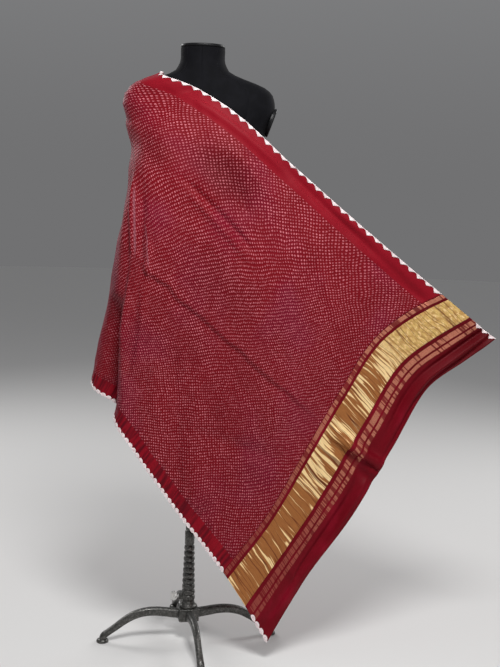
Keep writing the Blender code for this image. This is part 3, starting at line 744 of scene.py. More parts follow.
wires, given = new_group("tied_dots", {"Dots": VECTOR}, {"Dot": FLOAT, "Peak": FLOAT})
cell = wires.vector("FLOOR", given["Dots"])
chance = wires.node("ShaderNodeTexWhiteNoise", {"noise_dimensions": "2D"}, Vector=cell).outputs
drift = (DOT_DRIFT, DOT_DRIFT, 0)
moved = wires.vector("MULTIPLY_ADD", chance["Color"], drift, (-DOT_CENTRE, -DOT_CENTRE, 0))
inside_cell = wires.vector("MULTIPLY", wires.vector("FRACTION", given["Dots"]), (1, 1, 0))
from_knot = wires.vector("MULTIPLY", wires.vector("ADD", inside_cell, moved), (1, CELL_SHAPE, 1))
away = wires.vector("LENGTH", from_knot)
rim = wires.times(chance["Value"], RIM_LUCK, RIM_SMALLEST)
mark = wires.fade(away, wires.math("ADD", rim, RIM_SOFTNESS), wires.math("SUBTRACT", rim, RIM_SOFTNESS))
knot_hole = wires.fade(away, *KNOT_HOLE)
strength = wires.times(chance["Value"], STRENGTH_LUCK, STRENGTH_LEAST)
dot = wires.times(wires.times(mark, knot_hole), strength)
wires.feed(Dot=dot, Peak=wires.fade(away, *PEAK_SLOPE))
print("groups:", [group.name for group in bpy.data.node_groups])

# %% [markdown]
# ### Dotted silk
#
# The tied dots are pale where the dye didn't reach. They lie on a lattice at 45 degrees to the cloth's edges,
# and each stands up as a tiny peak that the tying left in the silk. Both long borders are dyed plain.
# The red is painted darker, and the dots fainter, away from the brightest place on the cloth: a painted
# fall-off of light. Soft oval patches are painted darker, the first of them a painted shade in a trough at
# the chest, and others lean to violet where the dye took unevenly. The valleys of the lower border's puckers
# carry painted shade, and two sharp folds a painted pale highlight along their crests. The silk has a little
# sheen, which turns violet where it is seen edge-on.

# %% Colours and patches of the dye, and its painted shade and highlights
FIELD_RED = (0.192, 0.0028, 0.0082)
BORDER_RED = (0.246, 0.0040, 0.0125)
VIOLET_RED = (0.176, 0.0052, 0.0200)
PUCKER_SHADE_RED = (0.110, 0.0024, 0.0080)
DEEP_RED = (0.100, 0.0014, 0.0048)
DOT_PINK = (0.64, 0.178, 0.212)
HIGHLIGHT_ROSE = (0.300, 0.110, 0.140)
SHEEN_VIOLET = (0.80, 0.50, 0.70)
UPPER_BORDER = 0.056
LOWER_BORDER = 0.0445
BORDER_EDGE = 0.001
LINE_END = 0.15
BRIGHTEST_PLACE = (0.95, 0.15, 0.0)
# A fade has two readings, and often the two values that it gives there.
CLOUD_EDGE = (1.3, 0.2)
VIOLET_PATCHES = (0.45, 0.70)
# Painted fall-off of light: away from the brightest place the red is painted darker and the dots fainter.
FAR_SHADED = (0.30, 0.80, 0.0, 0.20)
FAR_DOTS_FAINTER = (0.20, 0.75, 0.96, 0.88)
STREAKED_DOTS = (0.36, 0.62, 0.76, 1.14)
PUCKER_SHADOW = (0.64, 0.30)
PUCKERED_HEM = (0.075, 0.035)
REAR_FROM = (1.22, 1.40)
REAR_PALENESS = 0.70
STREAK_DOWN = (1.9, -0.7, 0.0)
STREAK_OVER = (5.0, 14.0, 0.0)
# Soft oval patches painted darker. The first stands for the shade in a trough at the chest, a painted shade.
DARK_PATCHES = (
    # centre along and across, reach along and across, share of the deep red
    (0.835, 0.150, 0.110, 0.080, 0.75),
    (1.000, 0.215, 0.060, 0.060, 0.50),
    (0.700, 0.420, 0.120, 0.090, 0.30),
    (0.985, 0.700, 0.080, 0.200, 0.40),
    (0.640, 0.560, 0.320, 0.220, 0.26),
)
# Painted highlights: a pale rose line along the crests of two folds.
HIGHLIGHTED_FOLDS = (
    # along0, across0, along1, across1, half_width, share
    (1.005, 0.346, 0.942, 0.508, 0.0022, 0.60),
    (0.943, 0.420, 0.884, 0.508, 0.0020, 0.50),
)


def cloud(wires, place, centre_along, centre_across, reach_along, reach_across):
    """A soft oval patch on the flat cloth: 1 near its centre, and 0 a little past its reach."""
    from_centre = wires.vector("SUBTRACT", place, (centre_along, centre_across, 0.0))
    shares = wires.vector("MULTIPLY", from_centre, (1 / reach_along, 1 / reach_across, 0.0))
    return wires.fade(wires.vector("LENGTH", shares), *CLOUD_EDGE)


def line_mark(wires, place, along0, across0, along1, across1, half_width):
    """A soft line on the flat cloth that fades at both ends."""
    run = math.hypot(along1 - along0, across1 - across0)
    down, over = (along1 - along0) / run, (across1 - across0) / run
    from_start = wires.vector("SUBTRACT", place, (along0, across0, 0.0))
    share = wires.times(wires.vector("DOT_PRODUCT", from_start, (down, over, 0.0)), 1 / run)
    off = wires.math("ABSOLUTE", wires.vector("DOT_PRODUCT", from_start, (-over, down, 0.0)))
    return wires.times(wires.fade(off, 2 * half_width, 0.0), wires.within(share, 0.0, 1.0, LINE_END))


# %% Finish: dotted silk
dotted_silk, wires = new_finish(
    "dotted_silk", Roughness=0.55, Specular_IOR_Level=0.10,
    Sheen_Weight=0.06, Sheen_Roughness=0.4, Sheen_Tint=SHEEN_VIOLET,
)
flat = wires.uv("flat")
silk = wires.group("silk_threads", Flat=flat)
tied = wires.group("tied_dots", Dots=wires.uv("dots"))
along_here, across_here = wires.split(flat)[:2]
field = wires.within(across_here, UPPER_BORDER, WIDTH - LOWER_BORDER, BORDER_EDGE)
from_brightest = wires.vector("LENGTH", wires.vector("SUBTRACT", flat, BRIGHTEST_PLACE))
red = wires.blend(wires.fade(wires.noise(flat, 4.5), *VIOLET_PATCHES), FIELD_RED, VIOLET_RED)
# Painted shade: the red darkens away from the brightest place.
red = wires.blend(wires.fade(from_brightest, *FAR_SHADED), red, DEEP_RED)
# Painted shade in part: oval patches darkened towards the deep red, the first where the chest's trough is.
for *patch, share in DARK_PATCHES:
    red = wires.blend(wires.times(cloud(wires, flat, *patch), share), red, DEEP_RED)
red = wires.blend(field, BORDER_RED, red)
puckers = wires.noise(flat, (115, 9, 1), 1)
near_hem = wires.fade(across_here, *[WIDTH - from_hem for from_hem in PUCKERED_HEM])
# Painted shade: the valleys of the puckers near the lower hem are darkened.
red = wires.blend(wires.times(wires.fade(puckers, *PUCKER_SHADOW), near_hem), red, PUCKER_SHADE_RED)
red = wires.blend(1.0, red, silk["Shade"], "MULTIPLY")
down_streak, over_streak = [wires.vector("DOT_PRODUCT", flat, way) for way in (STREAK_DOWN, STREAK_OVER)]
streaks = wires.noise(wires.join(X=down_streak, Y=over_streak), 1)
# Painted light: the dots are paler near the brightest place and fainter away from it.
paleness = wires.fade(from_brightest, *FAR_DOTS_FAINTER)
paleness = wires.times(paleness, wires.fade(streaks, *STREAKED_DOTS))
behind = wires.fade(wires.times(across_here, 0.5, along_here), *REAR_FROM, 1.0, REAR_PALENESS)
dot_here = wires.times(wires.times(tied["Dot"], field), wires.times(paleness, behind))
colour = wires.blend(dot_here, red, DOT_PINK)
# Painted highlight along two fold crests.
for *line, share in HIGHLIGHTED_FOLDS:
    colour = wires.blend(wires.times(line_mark(wires, flat, *line), share), colour, HIGHLIGHT_ROSE)
wires.feed(Base_Color=colour)
height = wires.times(wires.times(tied["Peak"], field), 1.0, wires.times(silk["Height"], 0.35))
wires.bump(wires.times(wires.times(puckers, near_hem), 6.0, height), 0.0009, 0.8)

# %% [markdown]
# ### Woven gold
#
# The band is woven with flat metal thread. It is stiff, so it cracks into creases along the threads, which
# are dark because they turn away from the light. Narrow stripes have gold thread over red.
# The band's larger cracks are in its shape. The finish paints finer ones into its colour: pale ridges as
# painted highlights over brown, and thin dark cracks as painted shade, except near the upper edge, where the
# gold is smooth and only mottled, with a few painted glints.

# %% Shared group: gold thread
GOLD_PALE = (0.70, 0.46, 0.155)
GOLD_HIGHLIGHT = (1.00, 0.72, 0.36)
GOLD_BROWN = (0.375, 0.142, 0.044)
PAINTED_CRACK_SHADE = (0.125, 0.022, 0.010)

wires, given = new_group("gold_thread", {"Flat": VECTOR}, {"Color": COLOUR, "Height": FLOAT})
# Below the upper edge the gold shows painted crumples: painted highlights on ridges, painted shade in cracks.
painted_crumple = wires.fade(wires.split(given["Flat"])["Y"], 0.15, 0.27)
bend = wires.times(wires.noise(given["Flat"], (9, 11, 1), 1), 0.025)
place = wires.vector("ADD", given["Flat"], wires.join(Y=bend))
ridges = wires.noise(place, (6.5, 122, 1), 2, 0.55)
zones = wires.fade(wires.noise(place, (3, 19, 1), 1), 0.50, 0.57)
low_down = wires.fade(wires.split(place)["Y"], 0.50, 0.78, 0.448, 0.512)
from_here = wires.times(zones, 0.11, low_down)
# Painted highlight on the ridges, and painted shade in the valleys between them.
ridge = wires.fade(ridges, from_here, wires.math("ADD", from_here, 0.05))
folded = wires.blend(ridge, GOLD_BROWN, GOLD_HIGHLIGHT)
folded = wires.blend(wires.fade(ridges, 0.42, 0.30, 0.0, 0.55), folded, PAINTED_CRACK_SHADE)
mottle = wires.fade(wires.noise(place, (55, 90, 1), 3), 0.40, 0.62, 0.45, 0.0)
smooth_gold = wires.blend(mottle, GOLD_PALE, GOLD_BROWN)
# Painted highlight: pale glints on the smooth gold.
glints = wires.noise(place, (70, 150, 1), 3, 0.6)
smooth_gold = wires.blend(wires.fade(glints, 0.50, 0.66, 0.0, 0.75), smooth_gold, GOLD_HIGHLIGHT)
gold = wires.blend(painted_crumple, smooth_gold, folded)
# Painted shade: thin dark crack lines.
lines = wires.noise(place, (1.6, 62, 1), 0)
crack = wires.fade(wires.math("ABSOLUTE", wires.math("SUBTRACT", lines, 0.5)), 0.026, 0.006, 0.0, 0.75)
gold = wires.blend(crack, gold, PAINTED_CRACK_SHADE)
grain = wires.times(wires.noise(place, (60, 420, 1)), 0.6, 0.70)
picks = wires.times(wires.noise(place, (1400, 300, 1), 1), 0.12)
wires.feed(Color=wires.blend(1.0, gold, grain, "MULTIPLY"), Height=wires.times(ridges, 1.0, picks))

# %% Finish with woven stripes
STRIPE_TAN = (0.54, 0.200, 0.125)
STRIPE_BROWN = (0.30, 0.062, 0.048)
# The end's red is deeper than the border's, partly the silk's own red and partly painted shade for the light
# falling off towards the end.
SHADED_END_RED = (0.150, 0.0018, 0.0075)
END_ROSE = (0.205, 0.0030, 0.0135)
END_TIP_SHADE = (0.082, 0.0008, 0.0030)
ROW_EDGE = 0.0005
ROW_WAVE = 0.0016
INNER_STRIPES = ((BAND_START, 0.073), (0.079, 0.096))
GOLD_ROW = (0.105, 0.193)
OUTER_STRIPE = (0.202, 0.2148)


def rows_of_thread(wires, wavy, rows):
    """A mask of rows of thread, each with its start and stop along the cloth."""
    mask = 0.0
    for start, stop in rows:
        mask = wires.math("MAXIMUM", wires.within(wavy, start, stop, ROW_EDGE), mask)
    return mask


def striped_silk(name, gold_rows, stripe_rows):
    """Plain red silk with rows of solid gold and of stripes, whose gold thread shows in short blocks."""
    material, wires = new_finish(name, Specular_IOR_Level=0.1)
    flat = wires.uv("flat")
    silk = wires.group("silk_threads", Flat=flat)
    gold = wires.group("gold_thread", Flat=flat)
    along_here, across_here = wires.split(flat)[:2]
    wavy = wires.times(wires.noise(flat, 60, 1), ROW_WAVE, wires.math("SUBTRACT", along_here, ROW_WAVE / 2))
    closer = wires.times(across_here, wires.times(across_here, 80.0, 90.0))
    blocks = wires.noise(wires.join(X=wires.times(along_here, 8.0), Y=closer), 1, 1)
    gap_from = wires.fade(across_here, 0.10, 0.36, 0.39, 0.445)
    shown = wires.fade(blocks, gap_from, wires.math("ADD", gap_from, 0.08), 0.12, 1.0)
    striped = wires.times(rows_of_thread(wires, wavy, stripe_rows), shown)
    solid = rows_of_thread(wires, wavy, gold_rows)
    clouds = wires.fade(wires.noise(flat, (16, 9, 1), 3), 0.45, 0.70)
    # Painted shade: the end's red darkens towards its upper edge, where the tip is drawn out.
    shaded_tip = wires.fade(across_here, 0.34, 0.04, 0.0, 0.75)
    ground = wires.blend(shaded_tip, wires.blend(clouds, SHADED_END_RED, END_ROSE), END_TIP_SHADE)
    ground = wires.blend(1.0, ground, silk["Shade"], "MULTIPLY")
    low_down = wires.fade(wires.times(blocks, 0.9, across_here), 0.90, 1.40)
    glints = wires.fade(wires.noise(flat, (500, 260, 1)), 0.35, 0.60, 0.45, 0.0)
    thread = wires.blend(glints, wires.blend(low_down, STRIPE_TAN, STRIPE_BROWN), STRIPE_BROWN)
    woven = wires.math("MAXIMUM", solid, striped)
    wires.feed(
        Base_Color=wires.blend(solid, wires.blend(striped, ground, thread), gold["Color"]),
        Metallic=wires.times(woven, 0.30),
        Roughness=wires.times(woven, -0.10, 0.50),
    )
    wires.bump(wires.times(wires.times(gold["Height"], solid), 2.4, silk["Height"]), 0.0008, 0.8)
    return material


plain_silk = striped_silk("plain_silk", (), INNER_STRIPES)
gold_weave = striped_silk("gold_weave", [GOLD_ROW], [OUTER_STRIPE])

# %% [markdown]
# ### Tape, jersey, trim and metal
#
# Each of these is one material with a darker and a lighter shade, blended by noise: soft greys in the white
# tape, pilling on the jersey, wear on the iron, and fine drawn lines on the steel.

# %% Finishes: tape, jersey and trim
TAPE_SHADES = ((0.74, 0.60, 0.61), (0.92, 0.82, 0.82))
JERSEY_SHADES = ((0.0022, 0.0022, 0.0034), (0.0042, 0.0042, 0.0060))
TRIM_SHADES = ((0.004, 0.004, 0.005), (0.008, 0.008, 0.009))

white_tape, wires = new_finish("white_tape", Roughness=0.85)
place = wires.on_object()
wires.feed(Base_Color=wires.blend(wires.fade(wires.noise(place, 140), 0.35, 0.65), *TAPE_SHADES))
wires.bump(wires.noise(place, 900), 0.0004, 0.6)

black_jersey, wires = new_finish("black_jersey", Roughness=0.85, Specular_IOR_Level=0.15)
place = wires.on_object()
pilling = wires.noise(place, 35, 3)
knit = wires.noise(place, (900, 900, 300), 1)
wires.feed(Base_Color=wires.blend(wires.fade(pilling, 0.35, 0.7), *JERSEY_SHADES))
wires.bump(wires.times(knit, 0.5, wires.times(pilling, 0.5)), 0.0006, 0.5)

black_trim, wires = new_finish("black_trim", Specular_IOR_Level=0.25)
place = wires.on_object()
moulded = wires.noise(place, 300)
wires.feed(
    Base_Color=wires.blend(moulded, *TRIM_SHADES),
    Roughness=wires.fade(wires.noise(place, 22), 0.3, 0.7, 0.36, 0.5),
)
wires.bump(moulded, 0.0002, 0.4)

# %% Finishes: iron and steel
IRON_SHADES = ((0.066, 0.065, 0.061), (0.195, 0.190, 0.180))
STEEL_SHADES = ((0.50, 0.50, 0.49), (0.74, 0.73, 0.71))

black_iron, wires = new_finish("black_iron", Metallic=0.75)
place = wires.on_object()
wires.feed(
    Base_Color=wires.blend(wires.fade(wires.noise(place, 190, 4, 0.65), 0.40, 0.75), *IRON_SHADES),
    Roughness=wires.fade(wires.noise(place, 90), 0.3, 0.7, 0.30, 0.44),
)
wires.bump(wires.noise(place, 240, 3), 0.0006, 0.6)

bright_steel, wires = new_finish("bright_steel", Metallic=1.0)
rubbed = wires.noise(wires.on_object(), (300, 60, 60), 3)
wires.feed(
    Base_Color=wires.blend(rubbed, *STEEL_SHADES),
    Roughness=wires.fade(rubbed, 0.3, 0.7, 0.20, 0.34),
)
print("finishes:", [material.name for material in bpy.data.materials])

# %% [markdown]
# ## The cloth
#
# Each stretch starts as a flat grid with its UV maps, as a cutter lays it out, and is then laid over the form
# point by point. The three stretches share the same points where they meet, so the cloth stays whole.
# Solidify gives it the thickness of silk.

# %% Count the tied dots
DOT_PITCHES = (0.0068, 0.0076)
DOT_WAVES_ALONG = ((0.0032, 0.034, 0.046, 11), (0.005, 0.16, 0.13, 12))
DOT_WAVES_ACROSS = ((0.0032, 0.046, 0.034, 13), (0.005, 0.13, 0.16, 14))
STRETCHES = (
    # between dots (0) or rows (1), centre along and across, reach along and across, share of stretch
    (0, 0.82, 0.10, 0.42, 0.17, 0.30),
    (1, 0.72, 0.34, 0.46, 0.38, 0.21),
    (0, 0.40, 0.08, 0.28, 0.16, 0.27),
)
TURNS = (
    # rows (1) or columns (0), centre along and across, reach along and across, slope of the turn
    (1, 0.93, 0.32, 0.22, 0.26, 0.30),
    (1, 0.60, 0.70, 0.34, 0.30, 0.15),
    (0, 0.52, 0.42, 0.42, 0.36, -0.34),
)


def bell(along, across, centre_along, centre_across, reach_along, reach_across):
    """A round swell on the flat cloth: 1 at its centre."""
    off = ((along - centre_along) / reach_along) ** 2 + ((across - centre_across) / reach_across) ** 2
    return np.exp(-off)


def on_lattice(along, across):
    """A place measured along the two directions of the dots, which lie at 45 degrees to the edges."""
    return [(along + across) / math.sqrt(2), (along - across) / math.sqrt(2)]


def dot_counts(along, across):
    """Places counted in dots, on a wavy lattice that is drawn wider and turned near the shoulder."""
    wavy_along = along + sum(swell(kind, along, across) for kind in DOT_WAVES_ALONG)
    wavy_across = across + sum(swell(kind, along, across) for kind in DOT_WAVES_ACROSS)
    straight = on_lattice(wavy_along, wavy_across)
    lattice = list(straight)
    for number, *patch, slope in TURNS:
        from_middle = straight[1 - number] - on_lattice(*patch[:2])[1 - number]
        lattice[number] = lattice[number] + slope * bell(along, across, *patch) * from_middle
    for number, *patch, share in STRETCHES:
        from_middle = lattice[number] - on_lattice(*patch[:2])[number]
        lattice[number] = lattice[number] - share * bell(along, across, *patch) * from_middle
    return [count / pitch for count, pitch in zip(lattice, DOT_PITCHES)]


# %% Cut and lay a stretch
SILK_THICKNESS = 0.0008


def lay_stretch(name, along, across, material, slot):
    """One stretch of the cloth: a flat grid with its UV maps, laid over the form and given its thickness."""
    rows, columns = len(along) - 1, len(across) - 1
    form = bmesh.new()
    bmesh.ops.create_grid(form, x_segments=rows, y_segments=columns, size=0.5)
    piece = finish_piece(form, name, material, slot, sharp_angle=None)
    mesh = piece.data
    places = np.empty(len(mesh.vertices) * 3)
    mesh.vertices.foreach_get("co", places)
    places = places.reshape(-1, 3) - np.array(POLE_AT)
    row = np.rint((places[:, 0] + 0.5) * rows).astype(int)
    column = np.rint((places[:, 1] + 0.5) * columns).astype(int)
    points, _ = laid_cloth(along, across)
    mesh.vertices.foreach_set("co", (points[row, column] + np.array(POLE_AT)).ravel())
    corners = np.empty(len(mesh.loops), int)
    mesh.loops.foreach_get("vertex_index", corners)
    here = along[row][corners], across[column][corners]
    for label, pair in (("flat", here), ("dots", dot_counts(*here))):
        layer = mesh.uv_layers.new(name=label)
        layer.data.foreach_set("uv", np.stack(pair, axis=-1).ravel())
    mesh.update()
    thickness = piece.modifiers.new("silk", "SOLIDIFY")
    thickness.thickness = SILK_THICKNESS
    thickness.offset = 0.0
    return piece


# %% The three stretches
FIELD_COLUMNS = 160
FRONT_STOP = 1.20
FRONT_CELL = 0.005
REAR_CELL = 0.010
BAND_POINTS = 41
END_POINTS = 37

across_field = np.linspace(0.0, WIDTH, FIELD_COLUMNS + 1)
across_end = np.linspace(0.0, WIDTH, 2 * FIELD_COLUMNS + 1)
along_front = np.linspace(BAND_STOP, FRONT_STOP, round((FRONT_STOP - BAND_STOP) / FRONT_CELL) + 1)
along_rear = np.linspace(FRONT_STOP, LENGTH, round((LENGTH - FRONT_STOP) / REAR_CELL) + 1)
along_field = np.concatenate([along_front, along_rear[1:]])
along_band = np.linspace(END_STOP, BAND_STOP, BAND_POINTS)
along_end = np.linspace(0.0, END_STOP, END_POINTS)

dotted_field = lay_stretch("dotted_field", along_field, across_field, dotted_silk, "bandhani_red")
gold_band = lay_stretch("gold_band", along_band, across_end, gold_weave, "zari_gold")
plain_end = lay_stretch("plain_end", along_end, across_end, plain_silk, "plain_red")

# %% [markdown]
# ## The toothed tape
#
# A white tape is sewn along both long edges, with its points inward, except across the gold. Along the upper
# edge it is folded into teeth, and along the lower one into small beads that hang over the edge. It could
# follow the cloth's own grid, but tape doesn't stretch, so its teeth are spaced evenly on the laid cloth.
# It is cut as one flat strip whose inner edge zigzags, and it is padded a little in the middle.

# %% Sizes of the tape
TAPE_RIBBON = 0.0017
TAPE_TOOTH = 0.0112
TAPE_BEAD = 0.0085
BEADS_A_TOOTH = 4 / 3
BEAD_OVERHANG = 0.0030
TOOTH_GAP = 0.18
TOOTH_SHORTEST = 0.80
TOOTH_SEED = 31
BEAD_GAP = 0.14
TAPE_THICKNESS = 0.0009
TAPE_LIFT = 0.0005
TAPE_PADDING = 0.0007
TAPE_CELLS = 12
TAPE_ROWS = 4
STRIP_LINES = 11


def tape_sides(teeth, upper):
    """How far in from the cloth's edge the tape's outer and inner sides run, after a count of teeth."""
    count = teeth * (1 if upper else BEADS_A_TOOTH)
    share = 1.0 - np.abs(2.0 * (count % 1.0) - 1.0)
    gap = TOOTH_GAP if upper else BEAD_GAP
    share = np.clip((share - gap) / (1.0 - gap), 0.0, 1.0)
    if upper:
        draws = np.random.default_rng(TOOTH_SEED).uniform(TOOTH_SHORTEST, 1.0, TEETH + 1)
        luck = draws[np.floor(count).astype(int)]
        return 0.0 * share, TAPE_RIBBON + (TAPE_TOOTH - TAPE_RIBBON) * luck * share
    bead = np.sqrt(1.0 - (1.0 - share) ** 2)
    return -BEAD_OVERHANG * bead, TAPE_RIBBON + (TAPE_BEAD - TAPE_RIBBON) * bead


def even_places(start, stop, cells, across):
    """Places along an edge that are evenly spaced on the laid cloth."""
    fine = np.linspace(start, stop, 2 * cells + 1)
    edge = laid_cloth(fine, across)[0][:, 0]
    run = run_along(edge)
    return np.interp(np.linspace(0.0, run[-1], cells + 1), run, fine)


# %% Sew on the tape
def sew_tape(name, first_tooth, last_tooth, upper, *solids):
    """A strip of tape from one tooth to another along the upper or the lower edge."""
    cells = TAPE_CELLS * (last_tooth - first_tooth)
    form = bmesh.new()
    bmesh.ops.create_grid(form, x_segments=cells, y_segments=TAPE_ROWS, size=0.5)
    bmesh.ops.solidify(form, geom=form.verts[:] + form.edges[:] + form.faces[:], thickness=0.1)
    places = np.array([tuple(vert.co) for vert in form.verts])
    step = np.rint((places[:, 0] + 0.5) * cells).astype(int)
    share = np.rint((places[:, 1] + 0.5) * TAPE_ROWS) / TAPE_ROWS
    level = (places[:, 2] - places[:, 2].min()) / np.ptp(places[:, 2])
    outer, inner = tape_sides(np.arange(cells + 1) / TAPE_CELLS, upper)
    strip = np.linspace(0.0, TAPE_TOOTH, STRIP_LINES) + (0.0 if upper else WIDTH - TAPE_TOOTH)
    edge = strip[:1] if upper else strip[-1:]
    along = even_places(first_tooth * PITCH, last_tooth * PITCH, cells, edge)
    points, out = laid_cloth(along, strip)
    reach = outer[step] * (1 - share) + inner[step] * share
    at = ((reach if upper else WIDTH - reach) - strip[0]) / (strip[1] - strip[0])
    low = np.clip(np.floor(at).astype(int), 0, len(strip) - 2)
    part = (at - low)[:, None]
    on_cloth = points[step, low] * (1 - part) + points[step, low + 1] * part
    straight_out = unit(out[step, low] * (1 - part) + out[step, low + 1] * part)
    lift = TAPE_LIFT + level * (TAPE_THICKNESS + TAPE_PADDING * 4 * share * (1 - share))
    move_to(form.verts, on_cloth + straight_out * lift[:, None])
    outward(form)
    return finish_piece(form, name, white_tape, "edging_white", *solids)


TAPES = (
    # name, first tooth, last tooth, on the upper edge, solids that it takes the place of
    ("upper_tape", BAND_TEETH, TEETH, True, "upper_edging_front", "upper_edging_wrap", "upper_edging_rear"),
    ("lower_tape", BAND_TEETH, TEETH, False, "lower_edging_front", "lower_edging_wrap", "lower_edging_rear"),
    ("upper_tape_end", 0, END_TEETH - 1, True, "upper_edging_end"),
    ("lower_tape_end", 0, END_TEETH - 1, False, "lower_edging_end"),
)
tapes = [sew_tape(*row) for row in TAPES]

# %% [markdown]
# ## The dress form
#
# A limbless torso of padded shell covered in black jersey. Rings through its sizes make the shape, and a few
# points of each ring dip inwards, which gives the seams of its panels. Oval plates close the cut-off arms.

# %% Rings of the form
FORM_TURNS = 96
SEAM_TURNS = (0, 52, 90, 128, 180, 232, 270, 308)
SEAM_HALF_WIDTH = 0.5
SEAM_CLEAR = 1.2
SEAM_DEPTH = 0.0007

turns = set(np.arange(FORM_TURNS) * 360 / FORM_TURNS)
for seam in SEAM_TURNS:
    turns = {turn for turn in turns if SEAM_CLEAR < abs(turn - seam) < 360 - SEAM_CLEAR}
    turns |= {(seam + side * SEAM_HALF_WIDTH) % 360 for side in (-1, 0, 1)}
form_turns = np.radians(sorted(turns))
seam_dips = np.isin(np.round(np.degrees(form_turns), 3), SEAM_TURNS) * SEAM_DEPTH


def form_ring(z, wide, front, back, inset=0.0, dips=0.0):
    """A ring round the form: an oval with flattened sides, and its own depth behind."""
    cosine, sine = np.cos(form_turns), np.sin(form_turns)
    power = 2 / FORM_ROUNDNESS
    x = (wide - inset - dips) * np.sign(cosine) * np.abs(cosine) ** power
    y = (np.where(sine < 0, front, back) - inset - dips) * np.sign(sine) * np.abs(sine) ** power
    return [(a, b, z) for a, b in zip(x, y)]


# %% The torso
FORM_RINGS = 84
BASE_ROUNDING = 0.006
BASE_STEP = 0.002

heights = np.linspace(FORM_SECTIONS[0][0], FORM_SECTIONS[-1][0], FORM_RINGS)
form_table = np.array(FORM_SECTIONS)
form_sizes = curve_through(form_table[:, 0], form_table[:, 1:], heights)
ring_steps = [(heights[0], form_sizes[0], BASE_ROUNDING), (heights[0] + BASE_STEP, form_sizes[0], BASE_STEP)]
ring_steps += [(z, sizes, 0.0) for z, sizes in zip(heights[1:], form_sizes[1:])]
rings = [form_ring(z, *sizes, inset, seam_dips) for z, sizes, inset in ring_steps]
torso = finish_piece(raised(rings), "torso", black_jersey, "form_cloth", "form_body", sharp_angle=60)

# %% Neck cap and base plate
CAP_STEPS = (
    # height above the neck, inset
    (0.0003, 0.0025), (0.0012, 0.0008), (0.0025, 0.0), (0.0062, 0.0), (0.0076, 0.0010), (0.0083, 0.0030),
)
BASE_STEPS = (
    # height from the form's foot, inset
    (-0.0123, 0.016), (-0.0115, 0.0125), (-0.0100, 0.012), (-0.0003, 0.012),
)


def trim_piece(form, name, solid):
    return finish_piece(form, name, black_trim, "form_trim", solid)


for (z, *size), steps, name, solid in (
    (FORM_SECTIONS[-1], CAP_STEPS, "neck_cap_turned", "neck_cap"),
    (FORM_SECTIONS[0], BASE_STEPS, "base_board", "base_plate"),
):
    trim_piece(raised([form_ring(z + up, *size, inset) for up, inset in steps]), name, solid)

# %% Armhole plates
ARMHOLE_CENTRE = (0.1770, 0.002, 1.380)
ARMHOLE_HALF_SIZES = (0.029, 0.038, 1.0)
ARMHOLE_TILT = math.radians(19)
PLATE_STEPS = 48
PLATE_PROFILE = (
    # share of the half size, height from the form
    (0.0, -0.0030), (0.95, -0.0030), (0.96, 0.0), (1.0, 0.0008), (1.0, 0.0040), (0.97, 0.0054),
    (0.90, 0.0060), (0.86, 0.0052), (0.82, 0.0050), (0.14, 0.0050), (0.10, 0.0060), (0.0, 0.0060),
)
x, y, z = ARMHOLE_CENTRE
for side, name in ((1, "right"), (-1, "left")):
    oval = Matrix.Diagonal((*ARMHOLE_HALF_SIZES, 1.0))
    facing_out = Matrix.Rotation(side * math.pi / 2, 4, "Y") @ Matrix.Rotation(side * math.pi / 2, 4, "Z")
    leaning = Matrix.Rotation(side * ARMHOLE_TILT, 4, "Y")
    placing = Matrix.Translation((side * x, y, z)) @ leaning @ facing_out @ oval
    plate = turned(PLATE_PROFILE, PLATE_STEPS, placing)
    trim_piece(plate, f"armhole_cover_{name}", f"armhole_plate_{name}")

# %% [markdown]
# ## The stand
#
# The column is turned iron: a foot, ten rounded rings and a smooth collar, with the pole standing in it.
# A lathe profile spun on the axis gives all of it. The clamp screw turns in a boss near the column's foot.

# %% Column and pole
COLUMN_TOP = 0.300
RING_FOOT = 0.107
RING_PITCH = 0.0153
RINGS = 10
RING_POINTS = 8
RING_RADII = (0.0182, 0.0140)
RING_GROOVE = 0.0030
RING_FULLNESS = 0.6
POLE_RADIUS = 0.011
POLE_FOOT = COLUMN_TOP + 0.0003
COLUMN_STEPS = 48
POLE_STEPS = 40
FOOT_PROFILE = (
    # radius, height
    (0.0, 0.0883), (0.0228, 0.0883), (0.0240, 0.0895), (0.0240, 0.0930), (0.0230, 0.0944), (0.0198, 0.0962),
    (0.0182, 0.0985), (0.0172, 0.1040),
)
COLLAR_PROFILE = (
    (0.0110, 0.2600), (0.0118, 0.2622), (0.0128, 0.2635), (0.0128, 0.2980), (0.0122, 0.2994),
    (0.0108, COLUMN_TOP), (0.0, COLUMN_TOP),
)


def iron_piece(form, name, solid):
    return finish_piece(form, name, black_iron, "cast_iron", solid)


profile = list(FOOT_PROFILE)
for ring in range(RINGS):
    share = ring / (RINGS - 1)
    radius = RING_RADII[0] * (1 - share) + RING_RADII[1] * share
    for part in np.linspace(0.0, 1.0, RING_POINTS, endpoint=False):
        bulge = math.sin(math.pi * part) ** RING_FULLNESS if part else 0.0
        profile.append((radius - RING_GROOVE * (1 - bulge), RING_FOOT + (ring + part) * RING_PITCH))
pole_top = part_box("pole")[1].z
profile += COLLAR_PROFILE
iron_piece(turned(profile, COLUMN_STEPS), "ringed_column", "column")
pole_profile = ((0.0, POLE_FOOT), (POLE_RADIUS, POLE_FOOT), (POLE_RADIUS, pole_top), (0.0, pole_top))
iron_piece(turned(pole_profile, POLE_STEPS), "round_pole", "pole")

# %% Boss
SCREW_Z = 0.1165
BOSS_STEPS = 32
BOSS_PROFILE = (
    # radius, distance from the column's axis
    (0.0, 0.008), (0.0085, 0.008), (0.0085, 0.0245), (0.0078, 0.0255), (0.0044, 0.0255), (0.0041, 0.0252),
    (0.0041, 0.0150), (0.0, 0.0150),
)
to_the_left = Matrix.Translation((0, 0, SCREW_Z)) @ Matrix.Rotation(-math.pi / 2, 4, "Y")
iron_piece(turned(BOSS_PROFILE, BOSS_STEPS, to_the_left), "screw_boss", "column")

